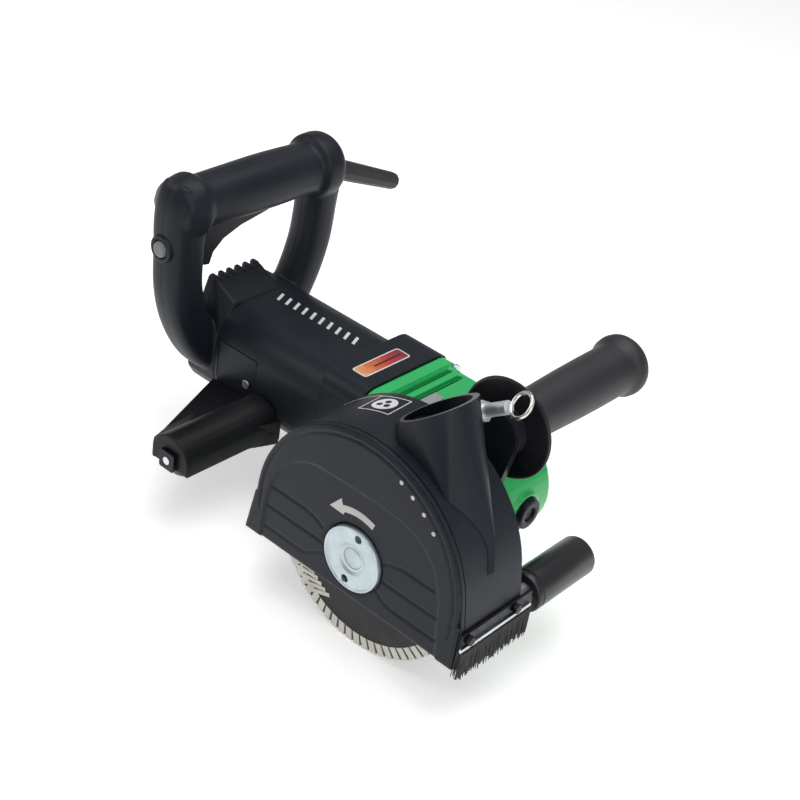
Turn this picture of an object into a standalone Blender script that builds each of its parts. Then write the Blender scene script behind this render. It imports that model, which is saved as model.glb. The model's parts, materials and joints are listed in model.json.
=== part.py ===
"""Wall chaser: twin diamond blades in a swinging dust hood, on an angle-drive motor with a loop handle.

Lengths below are in millimetres from the middle of the blade spindle. +X runs forward to the gear
head's nose, +Y runs along the spindle towards the side handle, +Z is up.
"""
from math import atan2, cos, pi, radians, sin

import bpy
import bmesh
from mathutils import Matrix, Vector

MM = 0.001
OBJECT_NAME = "wall_chaser"
SPINDLE_IN_WORLD = (0.08135, -0.0629, 0.0750)
GAP = 0.3

MOTOR_Y = 57.0
HOUSING_BOTTOM = -30.0
HOUSING_TOP = 46.0
HOUSING_HALF_WIDTH = 45.0
SEAM_X = -214.0
COLLAR_X = -112.0
GEAR_HEAD_X = -76.0
NOSE_RADIUS = 38.0
GEAR_HEAD_NEAR_Y = 16.0
GEAR_HEAD_FAR_Y = 97.0

BLADE_RADIUS = 75.0
BLADE_NEAR_Y = -55.6
BLADE_FAR_Y = -22.0
BLADE_HALF_THICKNESS = 1.2
NUT_RADIUS = 21.0
SHAFT_RADIUS = 8.0
THREAD_RADIUS = 7.0

HOOD_NEAR_Y = -68.0
HOOD_FAR_Y = -10.0
HOOD_WALL = 3.5
HOOD_RADIUS = 85.3
HOOD_ARC_Z = 2.9
HOOD_FRONT_X = 87.0
BASE_Z = -31.0
NECK_RADIUS = 24.0
NECK_END_Y = -16.5

PORT_CENTRE = (17.8, -32.0, 107.1)
PORT_LEAN = radians(35.5)
PORT_RADIUS = 25.0
PORT_WALL = 3.5

ROLLER_RADIUS = 14.0
FRONT_ROLLER = (78.0, -17.0)
REAR_ROLLER = (-163.0, -16.0)

CLAMP_FOOT = Vector((28.0, -2.5, 97.9))
CLAMP_LEAN = radians(35)

SIDE_HANDLE = (33.0, 79.0)
LOOP_X = -232.0
LOOP_RADIUS = 15.0
GRIP_RADIUS = 18.5
GRIP_Z = 127.5
LOOP_LEFT_Y = -14.0
LOOP_RIGHT_Y = 120.0
LOOP_WALL = 3.0

CROWN_TEETH = 36
PINION_TEETH = 12
CROWN_RADIUS = 24.0
PINION_RADIUS = 8.0
GEAR_INNER_SHARE = 0.74
TOOTH_RISE = 0.9
PINION_BORE = 3.8

AXIS_TURNS = {"X": Matrix.Rotation(pi / 2, 4, "Y"), "Y": Matrix.Rotation(-pi / 2, 4, "X"), "Z": Matrix()}


# ---------------------------------------------------------------- workshop

def start_clean():
    for old in list(bpy.data.objects):
        bpy.data.objects.remove(old, do_unlink=True)
    collections = []
    for name in (OBJECT_NAME, OBJECT_NAME + "_cutters"):
        made = bpy.data.collections.new(name)
        bpy.context.scene.collection.children.link(made)
        collections.append(made)
    return collections


PARTS, CUTTERS = start_clean()


def empty(name, place=(0, 0, 0), parent=None):
    pivot = bpy.data.objects.new(name, None)
    pivot.location = Vector(place) * MM
    pivot.empty_display_size = 0.01
    pivot.parent = parent
    PARTS.objects.link(pivot)
    return pivot


FRAME = empty("machine_frame")
FRAME.location = SPINDLE_IN_WORLD


def draft(mesh):
    """A workshop object: it is a cutter or an adder until part() makes it a sub-part."""
    item = bpy.data.objects.new("draft", mesh)
    CUTTERS.objects.link(item)
    item.parent = FRAME
    item.hide_render = True
    item.display_type = "WIRE"
    return item


def draft_from_bmesh(bm):
    mesh = bpy.data.meshes.new("draft")
    bm.to_mesh(mesh)
    bm.free()
    return draft(mesh)


def baked(item):
    """Turn a curve, or an object with modifiers, into a plain closed mesh at the frame's origin."""
    item.parent = None
    bpy.context.view_layer.update()
    graph = bpy.context.evaluated_depsgraph_get()
    mesh = bpy.data.meshes.new_from_object(item.evaluated_get(graph))
    mesh.transform(item.matrix_world)
    bpy.data.objects.remove(item, do_unlink=True)
    bm = bmesh.new()
    bm.from_mesh(mesh)
    bmesh.ops.remove_doubles(bm, verts=bm.verts, dist=1e-6)
    bmesh.ops.recalc_face_normals(bm, faces=bm.faces)
    bm.to_mesh(mesh)
    bm.free()
    return draft(mesh)


def box(low, high):
    bm = bmesh.new()
    bmesh.ops.create_cube(bm, size=1.0)
    low = Vector(low) * MM
    high = Vector(high) * MM
    bmesh.ops.scale(bm, vec=high - low, verts=bm.verts)
    bmesh.ops.translate(bm, vec=(low + high) / 2, verts=bm.verts)
    return draft_from_bmesh(bm)


def rod(start, end, radius, sides=24, end_radius=None):
    start = Vector(start) * MM
    end = Vector(end) * MM
    bm = bmesh.new()
    far = radius if end_radius is None else end_radius
    bmesh.ops.create_cone(bm, cap_ends=True, segments=sides, radius1=radius * MM, radius2=far * MM,
                          depth=(end - start).length)
    turn = (end - start).to_track_quat("Z", "Y").to_matrix().to_4x4()
    bmesh.ops.transform(bm, matrix=Matrix.Translation((start + end) / 2) @ turn, verts=bm.verts)
    return draft_from_bmesh(bm)


def turned(profile, axis, centre=(0, 0, 0), sides=32):
    """A turned solid; the profile is (place along the axis, radius), from its high end down."""
    mesh = bpy.data.meshes.new("profile")
    points = [(radius * MM, 0, place * MM) for place, radius in profile]
    mesh.from_pydata(points, [(i, i + 1) for i in range(len(points) - 1)], [])
    item = draft(mesh)
    turn = item.modifiers.new("turn", "SCREW")
    turn.steps = sides
    turn.render_steps = sides
    turn.use_merge_vertices = True
    turn.merge_threshold = 0.00001
    item.parent = None
    item.matrix_world = Matrix.Translation(Vector(centre) * MM) @ AXIS_TURNS[axis]
    return baked(item)


def ring_profile(low, high, inner, outer):
    return [(high, inner), (high, outer), (low, outer), (low, inner), (high, inner)]


def tube(axis, low, high, inner, outer, centre=(0, 0, 0), sides=32):
    return turned(ring_profile(low, high, inner, outer), axis, centre, sides)


def plate(outlines, axis, low, high):
    """A flat sheet: the first outline is its edge, the others are holes. Y outlines are (x, z)."""
    curve = bpy.data.curves.new("outline", "CURVE")
    curve.dimensions = "2D"
    curve.fill_mode = "BOTH"
    curve.extrude = (high - low) / 2 * MM
    for outline in outlines:
        spline = curve.splines.new("POLY")
        spline.points.add(len(outline) - 1)
        for point, (across, up) in zip(spline.points, outline):
            point.co = (across * MM, up * MM, 0, 1)
        spline.use_cyclic_u = True
    item = bpy.data.objects.new("outline", curve)
    CUTTERS.objects.link(item)
    middle = (low + high) / 2 * MM
    if axis == "Y":
        stand = Matrix.Translation((0, middle, 0)) @ Matrix.Rotation(pi / 2, 4, "X")
    elif axis == "X":
        turn = Matrix.Rotation(pi / 2, 4, "Z") @ Matrix.Rotation(pi / 2, 4, "X")
        stand = Matrix.Translation((middle, 0, 0)) @ turn
    else:
        stand = Matrix.Translation((0, 0, middle))
    item.matrix_world = stand
    return baked(item)


def sweep(points, radii, sides_level=2):
    """A round bar along points, with its own radius at each of them."""
    curve = bpy.data.curves.new("path", "CURVE")
    curve.dimensions = "3D"
    curve.bevel_depth = MM
    curve.bevel_resolution = sides_level
    curve.use_fill_caps = True
    spline = curve.splines.new("POLY")
    spline.points.add(len(points) - 1)
    for point, place, radius in zip(spline.points, points, radii):
        point.co = (*(Vector(place) * MM), 1)
        point.radius = radius
    item = bpy.data.objects.new("path", curve)
    CUTTERS.objects.link(item)
    return baked(item)


def hull(points):
    bm = bmesh.new()
    for place in points:
        bm.verts.new(Vector(place) * MM)
    made = bmesh.ops.convex_hull(bm, input=bm.verts)
    inside = [v for v in made["geom_interior"] if isinstance(v, bmesh.types.BMVert)]
    bmesh.ops.delete(bm, geom=inside, context="VERTS")
    bmesh.ops.recalc_face_normals(bm, faces=bm.faces)
    return draft_from_bmesh(bm)


def circle(across, up, radius, sides=32, start=0.0, sweep_angle=2 * pi):
    full = abs(sweep_angle - 2 * pi) < 1e-6
    steps = sides if full else sides - 1
    angles = [start + sweep_angle * i / steps for i in range(sides)]
    return [(across + radius * cos(a), up + radius * sin(a)) for a in angles]


def rounded_box(low, high, radius, sides=5):
    """Corner points (across, up) of a rectangle with round corners, anticlockwise."""
    points = []
    corners = ((high[0], high[1], 0), (low[0], high[1], 1), (low[0], low[1], 2), (high[0], low[1], 3))
    for across, up, quarter in corners:
        inward_x = -radius if across == high[0] else radius
        inward_z = -radius if up == high[1] else radius
        points += circle(across + inward_x, up + inward_z, radius, sides, quarter * pi / 2, pi / 2)
    return points


def boolean(item, other, operation):
    step = item.modifiers.new(operation.lower(), "BOOLEAN")
    step.operation = operation
    step.solver = "EXACT"
    step.object = other


def rounded(item, width, segments=2, angle=40):
    step = item.modifiers.new("round", "BEVEL")
    step.width = width * MM
    step.segments = segments
    step.limit_method = "ANGLE"
    step.angle_limit = radians(angle)


MATERIALS = {
    "black_plastic": ((0.030, 0.033, 0.040), 0.5, 0.0),
    "dark_plastic": ((0.018, 0.020, 0.025), 0.55, 0.0),
    "green_paint": ((0.04, 0.50, 0.14), 0.35, 0.0),
    "zinc_steel": ((0.72, 0.76, 0.78), 0.25, 1.0),
    "dark_steel": ((0.20, 0.20, 0.21), 0.4, 1.0),
    "blade_steel": ((0.50, 0.49, 0.46), 0.4, 1.0),
    "aluminium": ((0.62, 0.63, 0.65), 0.4, 1.0),
    "copper": ((0.70, 0.32, 0.16), 0.35, 1.0),
    "carbon": ((0.02, 0.02, 0.02), 0.8, 0.0),
    "rubber": ((0.02, 0.02, 0.022), 0.8, 0.0),
}


def paint(item, finish):
    colour, roughness, metallic = MATERIALS[finish]
    material = bpy.data.materials.new(item.name + "_" + finish)
    material.use_nodes = True
    shader = material.node_tree.nodes["Principled BSDF"]
    shader.inputs["Base Color"].default_value = (*colour, 1)
    shader.inputs["Roughness"].default_value = roughness
    shader.inputs["Metallic"].default_value = metallic
    item.data.materials.clear()
    item.data.materials.append(material)


def part(name, item, finish, add=(), cut=(), pivot=None, smooth=True):
    """Make a draft a named sub-part: join the adders, cut the cutters, hang it on its pivot."""
    for other in add:
        boolean(item, other, "UNION")
    for other in cut:
        boolean(item, other, "DIFFERENCE")
    CUTTERS.objects.unlink(item)
    PARTS.objects.link(item)
    item.name = name
    item.data.name = name
    item.hide_render = False
    item.display_type = "TEXTURED"
    if pivot:
        item.parent = pivot
        item.location = -pivot.location
    paint(item, finish)
    if smooth:
        item.data.shade_smooth()
        item.data.set_sharp_from_angle(angle=radians(35))
    return item


# ---------------------------------------------------------------- motor

def motor_section(half_width, bottom, top, radius):
    low = (MOTOR_Y - half_width, bottom)
    return rounded_box(low, (MOTOR_Y + half_width, top), radius)


def stator_section(radius, flat):
    """A circle round the motor axis with flats above and below."""
    reach = atan2(flat, (radius ** 2 - flat ** 2) ** 0.5)
    right = circle(MOTOR_Y, 0, radius, 9, -reach, 2 * reach)
    left = circle(MOTOR_Y, 0, radius, 9, pi - reach, 2 * reach)
    return right + left


STATOR_RADIUS = 35.0
STATOR_FLAT = 26.0
CORE_X = (-172.0, -118.0)
BRUSH_X = -190.0
DOOR_X = (-211.0, -173.0)
DOOR_Z = (-11.0, 24.0)
DOOR_SCREW = (-180.5, 2.5)
DOOR_DEPTH = 2.6
DOOR_THICKNESS = 2.2


def sides_of_motor():
    """(y of the flat side, inward direction) for the near and the far side of the motor."""
    return ((MOTOR_Y - HOUSING_HALF_WIDTH, 1), (MOTOR_Y + HOUSING_HALF_WIDTH, -1))


def slab(x_span, side, inward, depths, z_span, grow=0.0):
    """A box that lies between two depths under a flat side of the motor."""
    ys = sorted(side + inward * depth for depth in depths)
    low = (x_span[0] - grow, ys[0], z_span[0] - grow)
    return box(low, (x_span[1] + grow, ys[1], z_span[1] + grow))


def motor_housing():
    body = plate([motor_section(HOUSING_HALF_WIDTH, HOUSING_BOTTOM, HOUSING_TOP, 26)], "X", SEAM_X, -100)
    collar = plate([motor_section(47, HOUSING_BOTTOM, 51, 14)], "X", COLLAR_X, GEAR_HEAD_X - GAP)
    rounded(collar, 1.5, 2, 50)
    bore = plate([stator_section(STATOR_RADIUS + GAP, STATOR_FLAT + GAP)], "X", -230, -60)
    duct = plate([rounded_box((MOTOR_Y - 22, 10), (MOTOR_Y + 22, 44), 10, 4)], "X", -205, -84)
    cuts = [bore, duct]
    for side, inward in sides_of_motor():
        cuts.append(slab(DOOR_X, side, inward, (-5, DOOR_DEPTH), DOOR_Z, GAP))
        cuts.append(rod((BRUSH_X, side, 2), (BRUSH_X, side + inward * 30, 2), 8.3, 16))
        low = (DOOR_SCREW[0], side, DOOR_SCREW[1])
        cuts.append(rod(low, (DOOR_SCREW[0], side + inward * 8, DOOR_SCREW[1]), 1.9, 8))
    cuts += [rod((x, y, z), (x + 60, y, z), 2.3, 8) for x, y, z in gear_screw_places()]
    part("motor_housing", body, "black_plastic", add=[collar], cut=cuts)


def gear_screw_places():
    return [(GEAR_HEAD_X - 20, MOTOR_Y - 40, 44), (GEAR_HEAD_X - 20, MOTOR_Y + 40, 44)]


def stator():
    """The field: a stack of steel sheets with flats, and the coil heads that stand out of it."""
    stack = plate([stator_section(STATOR_RADIUS, STATOR_FLAT)], "X", *CORE_X)
    coil_heads = tube("X", CORE_X[0] - 7, CORE_X[1] + 7, 20.6, 25, (0, MOTOR_Y, 0), 24)
    bore = rod((CORE_X[0] - 9, MOTOR_Y, 0), (CORE_X[1] + 9, MOTOR_Y, 0), 20.6, 24)
    part("stator", stack, "dark_steel", add=[coil_heads], cut=[bore])


def brush_gear(label, side, inward):
    """One carbon brush in its holder, pointing at the commutator from a side of the motor."""
    start = side + inward * 5
    end = MOTOR_Y - inward * 13.6
    holder = rod((BRUSH_X, start, 2), (BRUSH_X, end, 2), 8, 16)
    ys = sorted((start - inward, end + inward))
    way = box((BRUSH_X - 4, ys[0], -2), (BRUSH_X + 4, ys[1], 6))
    part("brush_holder_" + label, holder, "aluminium", cut=[way])
    ys = sorted((start + inward * 3, MOTOR_Y - inward * 12.6))
    carbon = box((BRUSH_X - 3.6, ys[0], -1.6), (BRUSH_X + 3.6, ys[1], 5.6))
    part("carbon_brush_" + label, carbon, "carbon", smooth=False)


def brush_door(label, side, inward):
    """The cover over a carbon brush, and its screw."""
    door = slab(DOOR_X, side, inward, (DOOR_DEPTH - DOOR_THICKNESS - GAP, DOOR_DEPTH - GAP), DOOR_Z)
    x, z = DOOR_SCREW
    hole = rod((x, side - inward * 2, z), (x, side + inward * 6, z), 1.9, 8)
    part("brush_door_" + label, door, "black_plastic", cut=[hole], smooth=False)
    outer = side - inward * 1.5
    head = rod((x, outer, z), (x, side - inward * 0.3, z), 3.4, 12)
    shank = rod((x, outer + inward * 0.5, z), (x, side + inward * 4.6, z), 1.6, 8)
    part("brush_door_screw_" + label, head, "zinc_steel", add=[shank])


def armature():
    pivot = empty("armature_axis", (-100, MOTOR_Y, 0), FRAME)
    centre = (0, MOTOR_Y, 0)
    tip = PINION_BORE - GAP
    shaft = turned([(-15, 0), (-15, tip), (-30, tip), (-30, 5), (-236, 5), (-236, 0)], "X", centre, 16)
    part("armature_shaft", shaft, "dark_steel", pivot=pivot)
    head = 7
    low, high = CORE_X
    profile = [(high + head, 5.3), (high + head, 15), (high, 17), (high, 20), (low, 20), (low, 17),
               (low - head, 15), (low - head, 5.3), (high + head, 5.3)]
    part("armature_core", turned(profile, "X", centre, 24), "dark_steel", pivot=pivot)
    part("commutator", tube("X", -199, -180, 5.3, 12, centre, 20), "copper", pivot=pivot)
    profile = [(-92, 5.3), (-92, 25), (-94, 25), (-94, 9), (-106, 9), (-106, 5.3), (-92, 5.3)]
    hub = turned(profile, "X", centre, 24)
    blades = []
    for index in range(8):
        blade = box((-105, MOTOR_Y + 8, -0.8), (-93, MOTOR_Y + 24.3, 0.8))
        turn = Matrix.Rotation(index * pi / 4, 4, "X")
        middle = Matrix.Translation(Vector(centre) * MM)
        blade.data.transform(middle @ turn @ middle.inverted())
        blades.append(blade)
    part("cooling_fan", hub, "dark_plastic", add=blades, pivot=pivot)
    part("pinion", bevel_gear(PINION_TEETH, PINION_RADIUS, CROWN_RADIUS, "X", 0.5, PINION_BORE, 27.0),
         "dark_steel", pivot=pivot)


def bevel_gear(teeth, radius, mate_radius, axis, phase, bore, back):
    """A straight bevel gear: its tooth ring shrinks towards the point where both axes meet.

    The gear is made with its axis along Z and that point at the origin, then stood on its shaft.
    """
    cone = (Vector((mate_radius, 0)) - Vector((0, radius))).normalized()
    tooth_share = ((-0.27, -1), (-0.15, 1), (0.15, 1), (0.27, -1))
    bm = bmesh.new()
    rings = []
    for share in (1.0, GEAR_INNER_SHARE):
        ring = []
        for tooth in range(teeth):
            for offset, side in tooth_share:
                angle = 2 * pi * (tooth + offset + phase) / teeth
                height = TOOTH_RISE if side > 0 else -TOOTH_RISE * 1.5
                out = (radius + height * cone.x) * share
                along = (-mate_radius + height * -cone.y) * share
                ring.append(bm.verts.new(Vector((out * cos(angle), out * sin(angle), along)) * MM))
        rings.append(ring)
    count = teeth * len(tooth_share)
    ends = ((rings[0], -back), (rings[1], (-mate_radius - TOOTH_RISE * cone.x) * GEAR_INNER_SHARE))
    bores = []
    for ring, along in ends:
        hole = []
        for vertex in ring:
            angle = atan2(vertex.co.y, vertex.co.x)
            hole.append(bm.verts.new(Vector((bore * cos(angle), bore * sin(angle), along)) * MM))
        bores.append(hole)
    for index in range(count):
        after = (index + 1) % count
        bm.faces.new((rings[0][index], rings[0][after], rings[1][after], rings[1][index]))
        bm.faces.new((rings[0][after], rings[0][index], bores[0][index], bores[0][after]))
        bm.faces.new((rings[1][index], rings[1][after], bores[1][after], bores[1][index]))
        bm.faces.new((bores[1][index], bores[1][after], bores[0][after], bores[0][index]))
    bmesh.ops.triangulate(bm, faces=bm.faces)
    bmesh.ops.recalc_face_normals(bm, faces=bm.faces)
    stand = Matrix.Translation((0, MOTOR_Y * MM, 0)) @ AXIS_TURNS[axis]
    bmesh.ops.transform(bm, matrix=stand, verts=bm.verts)
    return draft_from_bmesh(bm)


# ---------------------------------------------------------------- gear head

LOCK_PIN_RADIUS = 5.0


def gear_head_outline():
    """Side view of the gear head: flat above and below, round at the nose."""
    low = HOUSING_BOTTOM + 0.5
    high = 47.0
    nose = circle(0, 0, NOSE_RADIUS, 13, -radians(40), radians(105))
    return [(GEAR_HEAD_X + 3, low), (8, low)] + nose + [(-12, high), (GEAR_HEAD_X + 3, high)]


def gear_head_block():
    """The gear head's body: its edges are broken, and its far side slopes in towards the nose."""
    points = []
    for x, z in gear_head_outline():
        far = GEAR_HEAD_FAR_Y - max(0.0, x + 45) * 0.13
        points += [(x, GEAR_HEAD_NEAR_Y + 4, z), (x, far - 3, z)]
        points += [(x if x < -60 else x * 0.88, GEAR_HEAD_NEAR_Y, 8 + (z - 8) * 0.86),
                   (x if x < -60 else x * 0.93, far, 8 + (z - 8) * 0.93)]
    return hull(points)


def gear_housing():
    head = gear_head_block()
    flange = plate([motor_section(45.5, HOUSING_BOTTOM, 49.5, 12)], "X", GEAR_HEAD_X, -66)
    boss = rod((25, MOTOR_Y, 0), (39, MOTOR_Y, 0), 14, 24)
    cavity = rod((0, GEAR_HEAD_NEAR_Y + 4, 0), (0, 68, 0), CROWN_RADIUS + 2.2, 32)
    mouth = rod((0, 0, 0), (0, 30, 0), NECK_RADIUS - 4, 24)
    far_seat = rod((0, 60, 0), (0, 80, 0), 12.3, 24)
    front_seat = rod((-90, MOTOR_Y, 0), (-60, MOTOR_Y, 0), 15.3, 24)
    pinion_way = rod((-70, MOTOR_Y, 0), (-20, MOTOR_Y, 0), 13, 24)
    pin_way = rod((20, MOTOR_Y, 0), (60, MOTOR_Y, 0), LOCK_PIN_RADIUS + 0.4, 16)
    cap_way = rod((30.5, MOTOR_Y, 0), (60, MOTOR_Y, 0), 11.5, 24)
    slots = [box((x - 2, 30, 42.5), (x + 2, 89, 60)) for x in (-62.5, -53)]
    screw_ways = [rod((x, y, z), (x + 60, y, z), 2.3, 8) for x, y, z in gear_screw_places()]
    carrier_ways = [rod((x, 0, z), (x, 30, z), 2.0, 8) for x, z in carrier_screw_places()]
    cuts = [rod((x + 29.8, y, z), (x + 50, y, z), 4.6, 12) for x, y, z in gear_screw_places()]
    cuts += [cavity, mouth, far_seat, front_seat, pinion_way, pin_way, cap_way]
    part("gear_housing", head, "green_paint", add=[flange, boss],
         cut=cuts + slots + screw_ways + carrier_ways)
    for label, (x, y, z) in zip(("near", "far"), gear_screw_places()):
        head = rod((x + 30.3, y, z), (x + 34, y, z), 3.6, 10)
        shank = rod((x + 4, y, z), (x + 31, y, z), 2.0, 8)
        part("gear_housing_screw_" + label, head, "zinc_steel", add=[shank])


def carrier_screw_places():
    return [(29 * cos(angle), 29 * sin(angle)) for angle in (radians(140), radians(0))]


def carrier():
    """The plate on the gear head that the hood swings on and that holds the side handle."""
    x, z = SIDE_HANDLE
    length = (x ** 2 + z ** 2) ** 0.5
    outline = hull_outline([(0, 0, 34), (x, z, 16)], length)
    base = plate([outline, circle(0, 0, 13, 32)], "Y", 10, GEAR_HEAD_NEAR_Y - GAP)
    neck = tube("Y", NECK_END_Y, 11, 17, NECK_RADIUS, sides=40)
    boss = rod((x, 11, z), (x, 20, z), 17, 32)
    stud_way = rod((x, 12, z), (x, 30, z), 5.3, 16)
    screw_ways = [rod((a, 0, b), (a, 30, b), 2.0, 8) for a, b in carrier_screw_places()]
    part("carrier_plate", base, "dark_plastic", add=[neck, boss], cut=[stud_way] + screw_ways)
    for index, (a, b) in enumerate(carrier_screw_places(), 1):
        head = rod((a, 6.4, b), (a, 9.7, b), 3.2, 10)
        shank = rod((a, 9, b), (a, 28, b), 1.7, 8)
        part(f"carrier_screw_{index}", head, "zinc_steel", add=[shank])
    ring = tube("Y", NECK_END_Y, HOOD_FAR_Y - HOOD_WALL - GAP, NECK_RADIUS + GAP, 29, sides=40)
    part("retaining_ring", ring, "dark_steel")


def hull_outline(discs, spacing, sides=40):
    """The outline of a belt round two discs (x, z, radius) that are spacing apart."""
    (x0, z0, r0), (x1, z1, r1) = discs
    heading = atan2(z1 - z0, x1 - x0)
    lean = pi / 2 - atan2(r0 - r1, (spacing ** 2 - (r0 - r1) ** 2) ** 0.5)
    small = circle(x1, z1, r1, sides // 2, heading - lean, 2 * lean)
    large = circle(x0, z0, r0, sides, heading + lean, 2 * pi - 2 * lean)
    return small + large


def bearings():
    motor_centre = (0, MOTOR_Y, 0)
    part("armature_bearing_rear", tube("X", -231, -224, 5.3, 11, motor_centre, 20), "zinc_steel")
    part("armature_bearing_front", tube("X", -72, -62, 5.3, 15, motor_centre, 20), "zinc_steel")
    part("spindle_bearing_near", tube("Y", -2, 8.7, SHAFT_RADIUS + GAP, 16.7, sides=20), "zinc_steel")
    part("spindle_bearing_far", tube("Y", 70.3, 79.5, 6.3, 12, sides=16), "zinc_steel")


# ---------------------------------------------------------------- spindle and blades

def spindle():
    pivot = empty("spindle_axis", (0, 0, 0), FRAME)
    shoulder = BLADE_FAR_Y + BLADE_HALF_THICKNESS + GAP
    profile = [(79, 0), (79, 6), (70, 6), (70, SHAFT_RADIUS), (shoulder, SHAFT_RADIUS),
               (shoulder, THREAD_RADIUS), (-69, THREAD_RADIUS), (-69, 0)]
    part("spindle_shaft", turned(profile, "Y", sides=24), "dark_steel", pivot=pivot)
    part("crown_gear", bevel_gear(CROWN_TEETH, CROWN_RADIUS, PINION_RADIUS, "Y", 0.0, 8.3, 14.0),
         "dark_steel", pivot=pivot)
    flange = tube("Y", shoulder, NECK_END_Y - 0.5, SHAFT_RADIUS + GAP, 20, sides=32)
    part("inner_flange", flange, "zinc_steel", pivot=pivot)
    bore = THREAD_RADIUS + GAP
    for name, middle in (("blade_near", BLADE_NEAR_Y), ("blade_far", BLADE_FAR_Y)):
        low = middle - BLADE_HALF_THICKNESS
        high = middle + BLADE_HALF_THICKNESS
        part(name, tube("Y", low, high, bore, BLADE_RADIUS, sides=48), "blade_steel", pivot=pivot)
    first = BLADE_NEAR_Y + BLADE_HALF_THICKNESS + GAP
    last = BLADE_FAR_Y - BLADE_HALF_THICKNESS - GAP
    step = (last - first + GAP) / 2
    for index in range(2):
        ring = tube("Y", first + index * step, first + (index + 1) * step - GAP, bore, 16, sides=16)
        part(f"spacer_ring_{index + 1}", ring, "zinc_steel", pivot=pivot)
    back = BLADE_NEAR_Y - BLADE_HALF_THICKNESS - GAP
    front = HOOD_NEAR_Y - 3.5
    profile = [(back, bore), (back, 17), (front + 4.5, 17), (front + 4.5, NUT_RADIUS), (front + 1, NUT_RADIUS),
               (front, NUT_RADIUS - 1), (front, 10.5), (front + 1.2, 9.5), (front + 1.2, bore), (back, bore)]
    pin_holes = []
    for angle in (radians(62), radians(242)):
        x, z = 15.2 * cos(angle), 15.2 * sin(angle)
        pin_holes.append(rod((x, front - 2, z), (x, front + 3, z), 2.3, 10))
    part("flange_nut", turned(profile, "Y", sides=40), "zinc_steel", cut=pin_holes, pivot=pivot)


# ---------------------------------------------------------------- hood

def hood_outline(shrink=0.0, drop=0.0):
    """Side view of the hood: a straight rear flank, an arc round the blades, a flat front."""
    radius = HOOD_RADIUS - shrink
    rear = (-92.8 + shrink, BASE_Z - drop)
    front = (HOOD_FRONT_X - shrink, BASE_Z - drop)
    arc = circle(-0.2, HOOD_ARC_Z, radius, 33, radians(172), radians(-164))
    return [rear] + arc + [(HOOD_FRONT_X - shrink, 0), front]


def port_direction():
    return Vector((-sin(PORT_LEAN), 0, cos(PORT_LEAN)))


def port_ring(radius, sides=28, raised=0.0):
    centre = Vector(PORT_CENTRE) + port_direction() * raised
    across = Vector((cos(PORT_LEAN), 0, sin(PORT_LEAN)))
    along = Vector((0, 1, 0))
    angles = [2 * pi * i / sides for i in range(sides)]
    return [centre + across * radius * cos(a) + along * radius * sin(a) for a in angles]


TOWER_FOOT = [(8, -57, 82), (-6, -42, 84), (-6, -22, 84), (4, -8, 84), (38.7, -7.5, 77.6), (52.7, -20, 73.1),
              (64.6, -28, 62), (76.5, -35, 46), (83.5, -40, 28), (80, -50, 26), (57, -58, 61)]
DUCT_FOOT = [(6, -50, 76), (0, -38, 78), (0, -24, 78), (8, -15, 76), (32, -15, 68), (48, -28, 56),
             (42, -49, 58)]


def hood():
    pivot = empty("hood_swing_axis", (0, 0, 0), FRAME)
    shell = plate([hood_outline()], "Y", HOOD_NEAR_Y + HOOD_WALL + GAP, HOOD_FAR_Y)
    inside = plate([hood_outline(HOOD_WALL, 10)], "Y", HOOD_NEAR_Y - 10, HOOD_FAR_Y - HOOD_WALL)
    neck_way = rod((0, HOOD_FAR_Y - 10, 0), (0, HOOD_FAR_Y + 10, 0), NECK_RADIUS + GAP, 40)
    flue = hull(port_ring(PORT_RADIUS - 6, 28) + DUCT_FOOT)
    x, z = FRONT_ROLLER
    axle_way = rod((x, HOOD_FAR_Y - 10, z), (x, HOOD_FAR_Y + 10, z), 4.3, 12)
    part("hood_shell", shell, "black_plastic", cut=[inside, neck_way, flue, axle_way], pivot=pivot)
    nut_way = circle(0, 0, NUT_RADIUS + 2.5, 40)
    cover = plate([hood_outline(), nut_way], "Y", HOOD_NEAR_Y, HOOD_NEAR_Y + HOOD_WALL)
    part("hood_cover", cover, "black_plastic", pivot=pivot)
    tower = hull(port_ring(PORT_RADIUS) + TOWER_FOOT)
    seat = plate([hood_outline(-GAP)], "Y", HOOD_NEAR_Y - 10, HOOD_FAR_Y + 30)
    duct = hull(port_ring(PORT_RADIUS - PORT_WALL, 28, 2) + DUCT_FOOT)
    away = clamp_direction()
    boss = rod(CLAMP_FOOT - away * 14, CLAMP_FOOT, 7.6, 20)
    bolt_way = rod(CLAMP_FOOT - away * 7.5, CLAMP_FOOT + away * 10, 4.8, 16)
    spot_face = rod(CLAMP_FOOT, CLAMP_FOOT + away * 30, 7.4, 20)
    part("dust_tower", tower, "black_plastic", add=[boss], cut=[duct, seat, bolt_way, spot_face], pivot=pivot)
    return pivot


def brush_strip(pivot):
    """The clip on the hood's front edge, its two bolts and the block of bristles that it holds."""
    near, far = HOOD_NEAR_Y, 0.0
    holder = box((HOOD_FRONT_X + GAP, near, -16), (HOOD_FRONT_X + 2.5, far, -3))
    bolt_places = [(-62.5, -7.5), (-17, -7.5)]
    ways = [rod((70, y, z), (100, y, z), 1.9, 8) for y, z in bolt_places]
    part("brush_strip_holder", holder, "dark_steel", cut=ways, pivot=pivot)
    bristles = box((HOOD_FRONT_X + GAP, near, -35.5), (HOOD_FRONT_X + 4.5, far, -16.3))
    part("brush_bristles", bristles, "rubber", pivot=pivot)
    for index, (y, z) in enumerate(bolt_places, 1):
        head = rod((HOOD_FRONT_X + 2.8, y, z), (HOOD_FRONT_X + 5.8, y, z), 3.4, 6)
        shank = rod((HOOD_FRONT_X + GAP, y, z), (HOOD_FRONT_X + 4, y, z), 1.6, 8)
        part(f"strip_bolt_{index}", head, "dark_steel", add=[shank], pivot=pivot)


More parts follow.
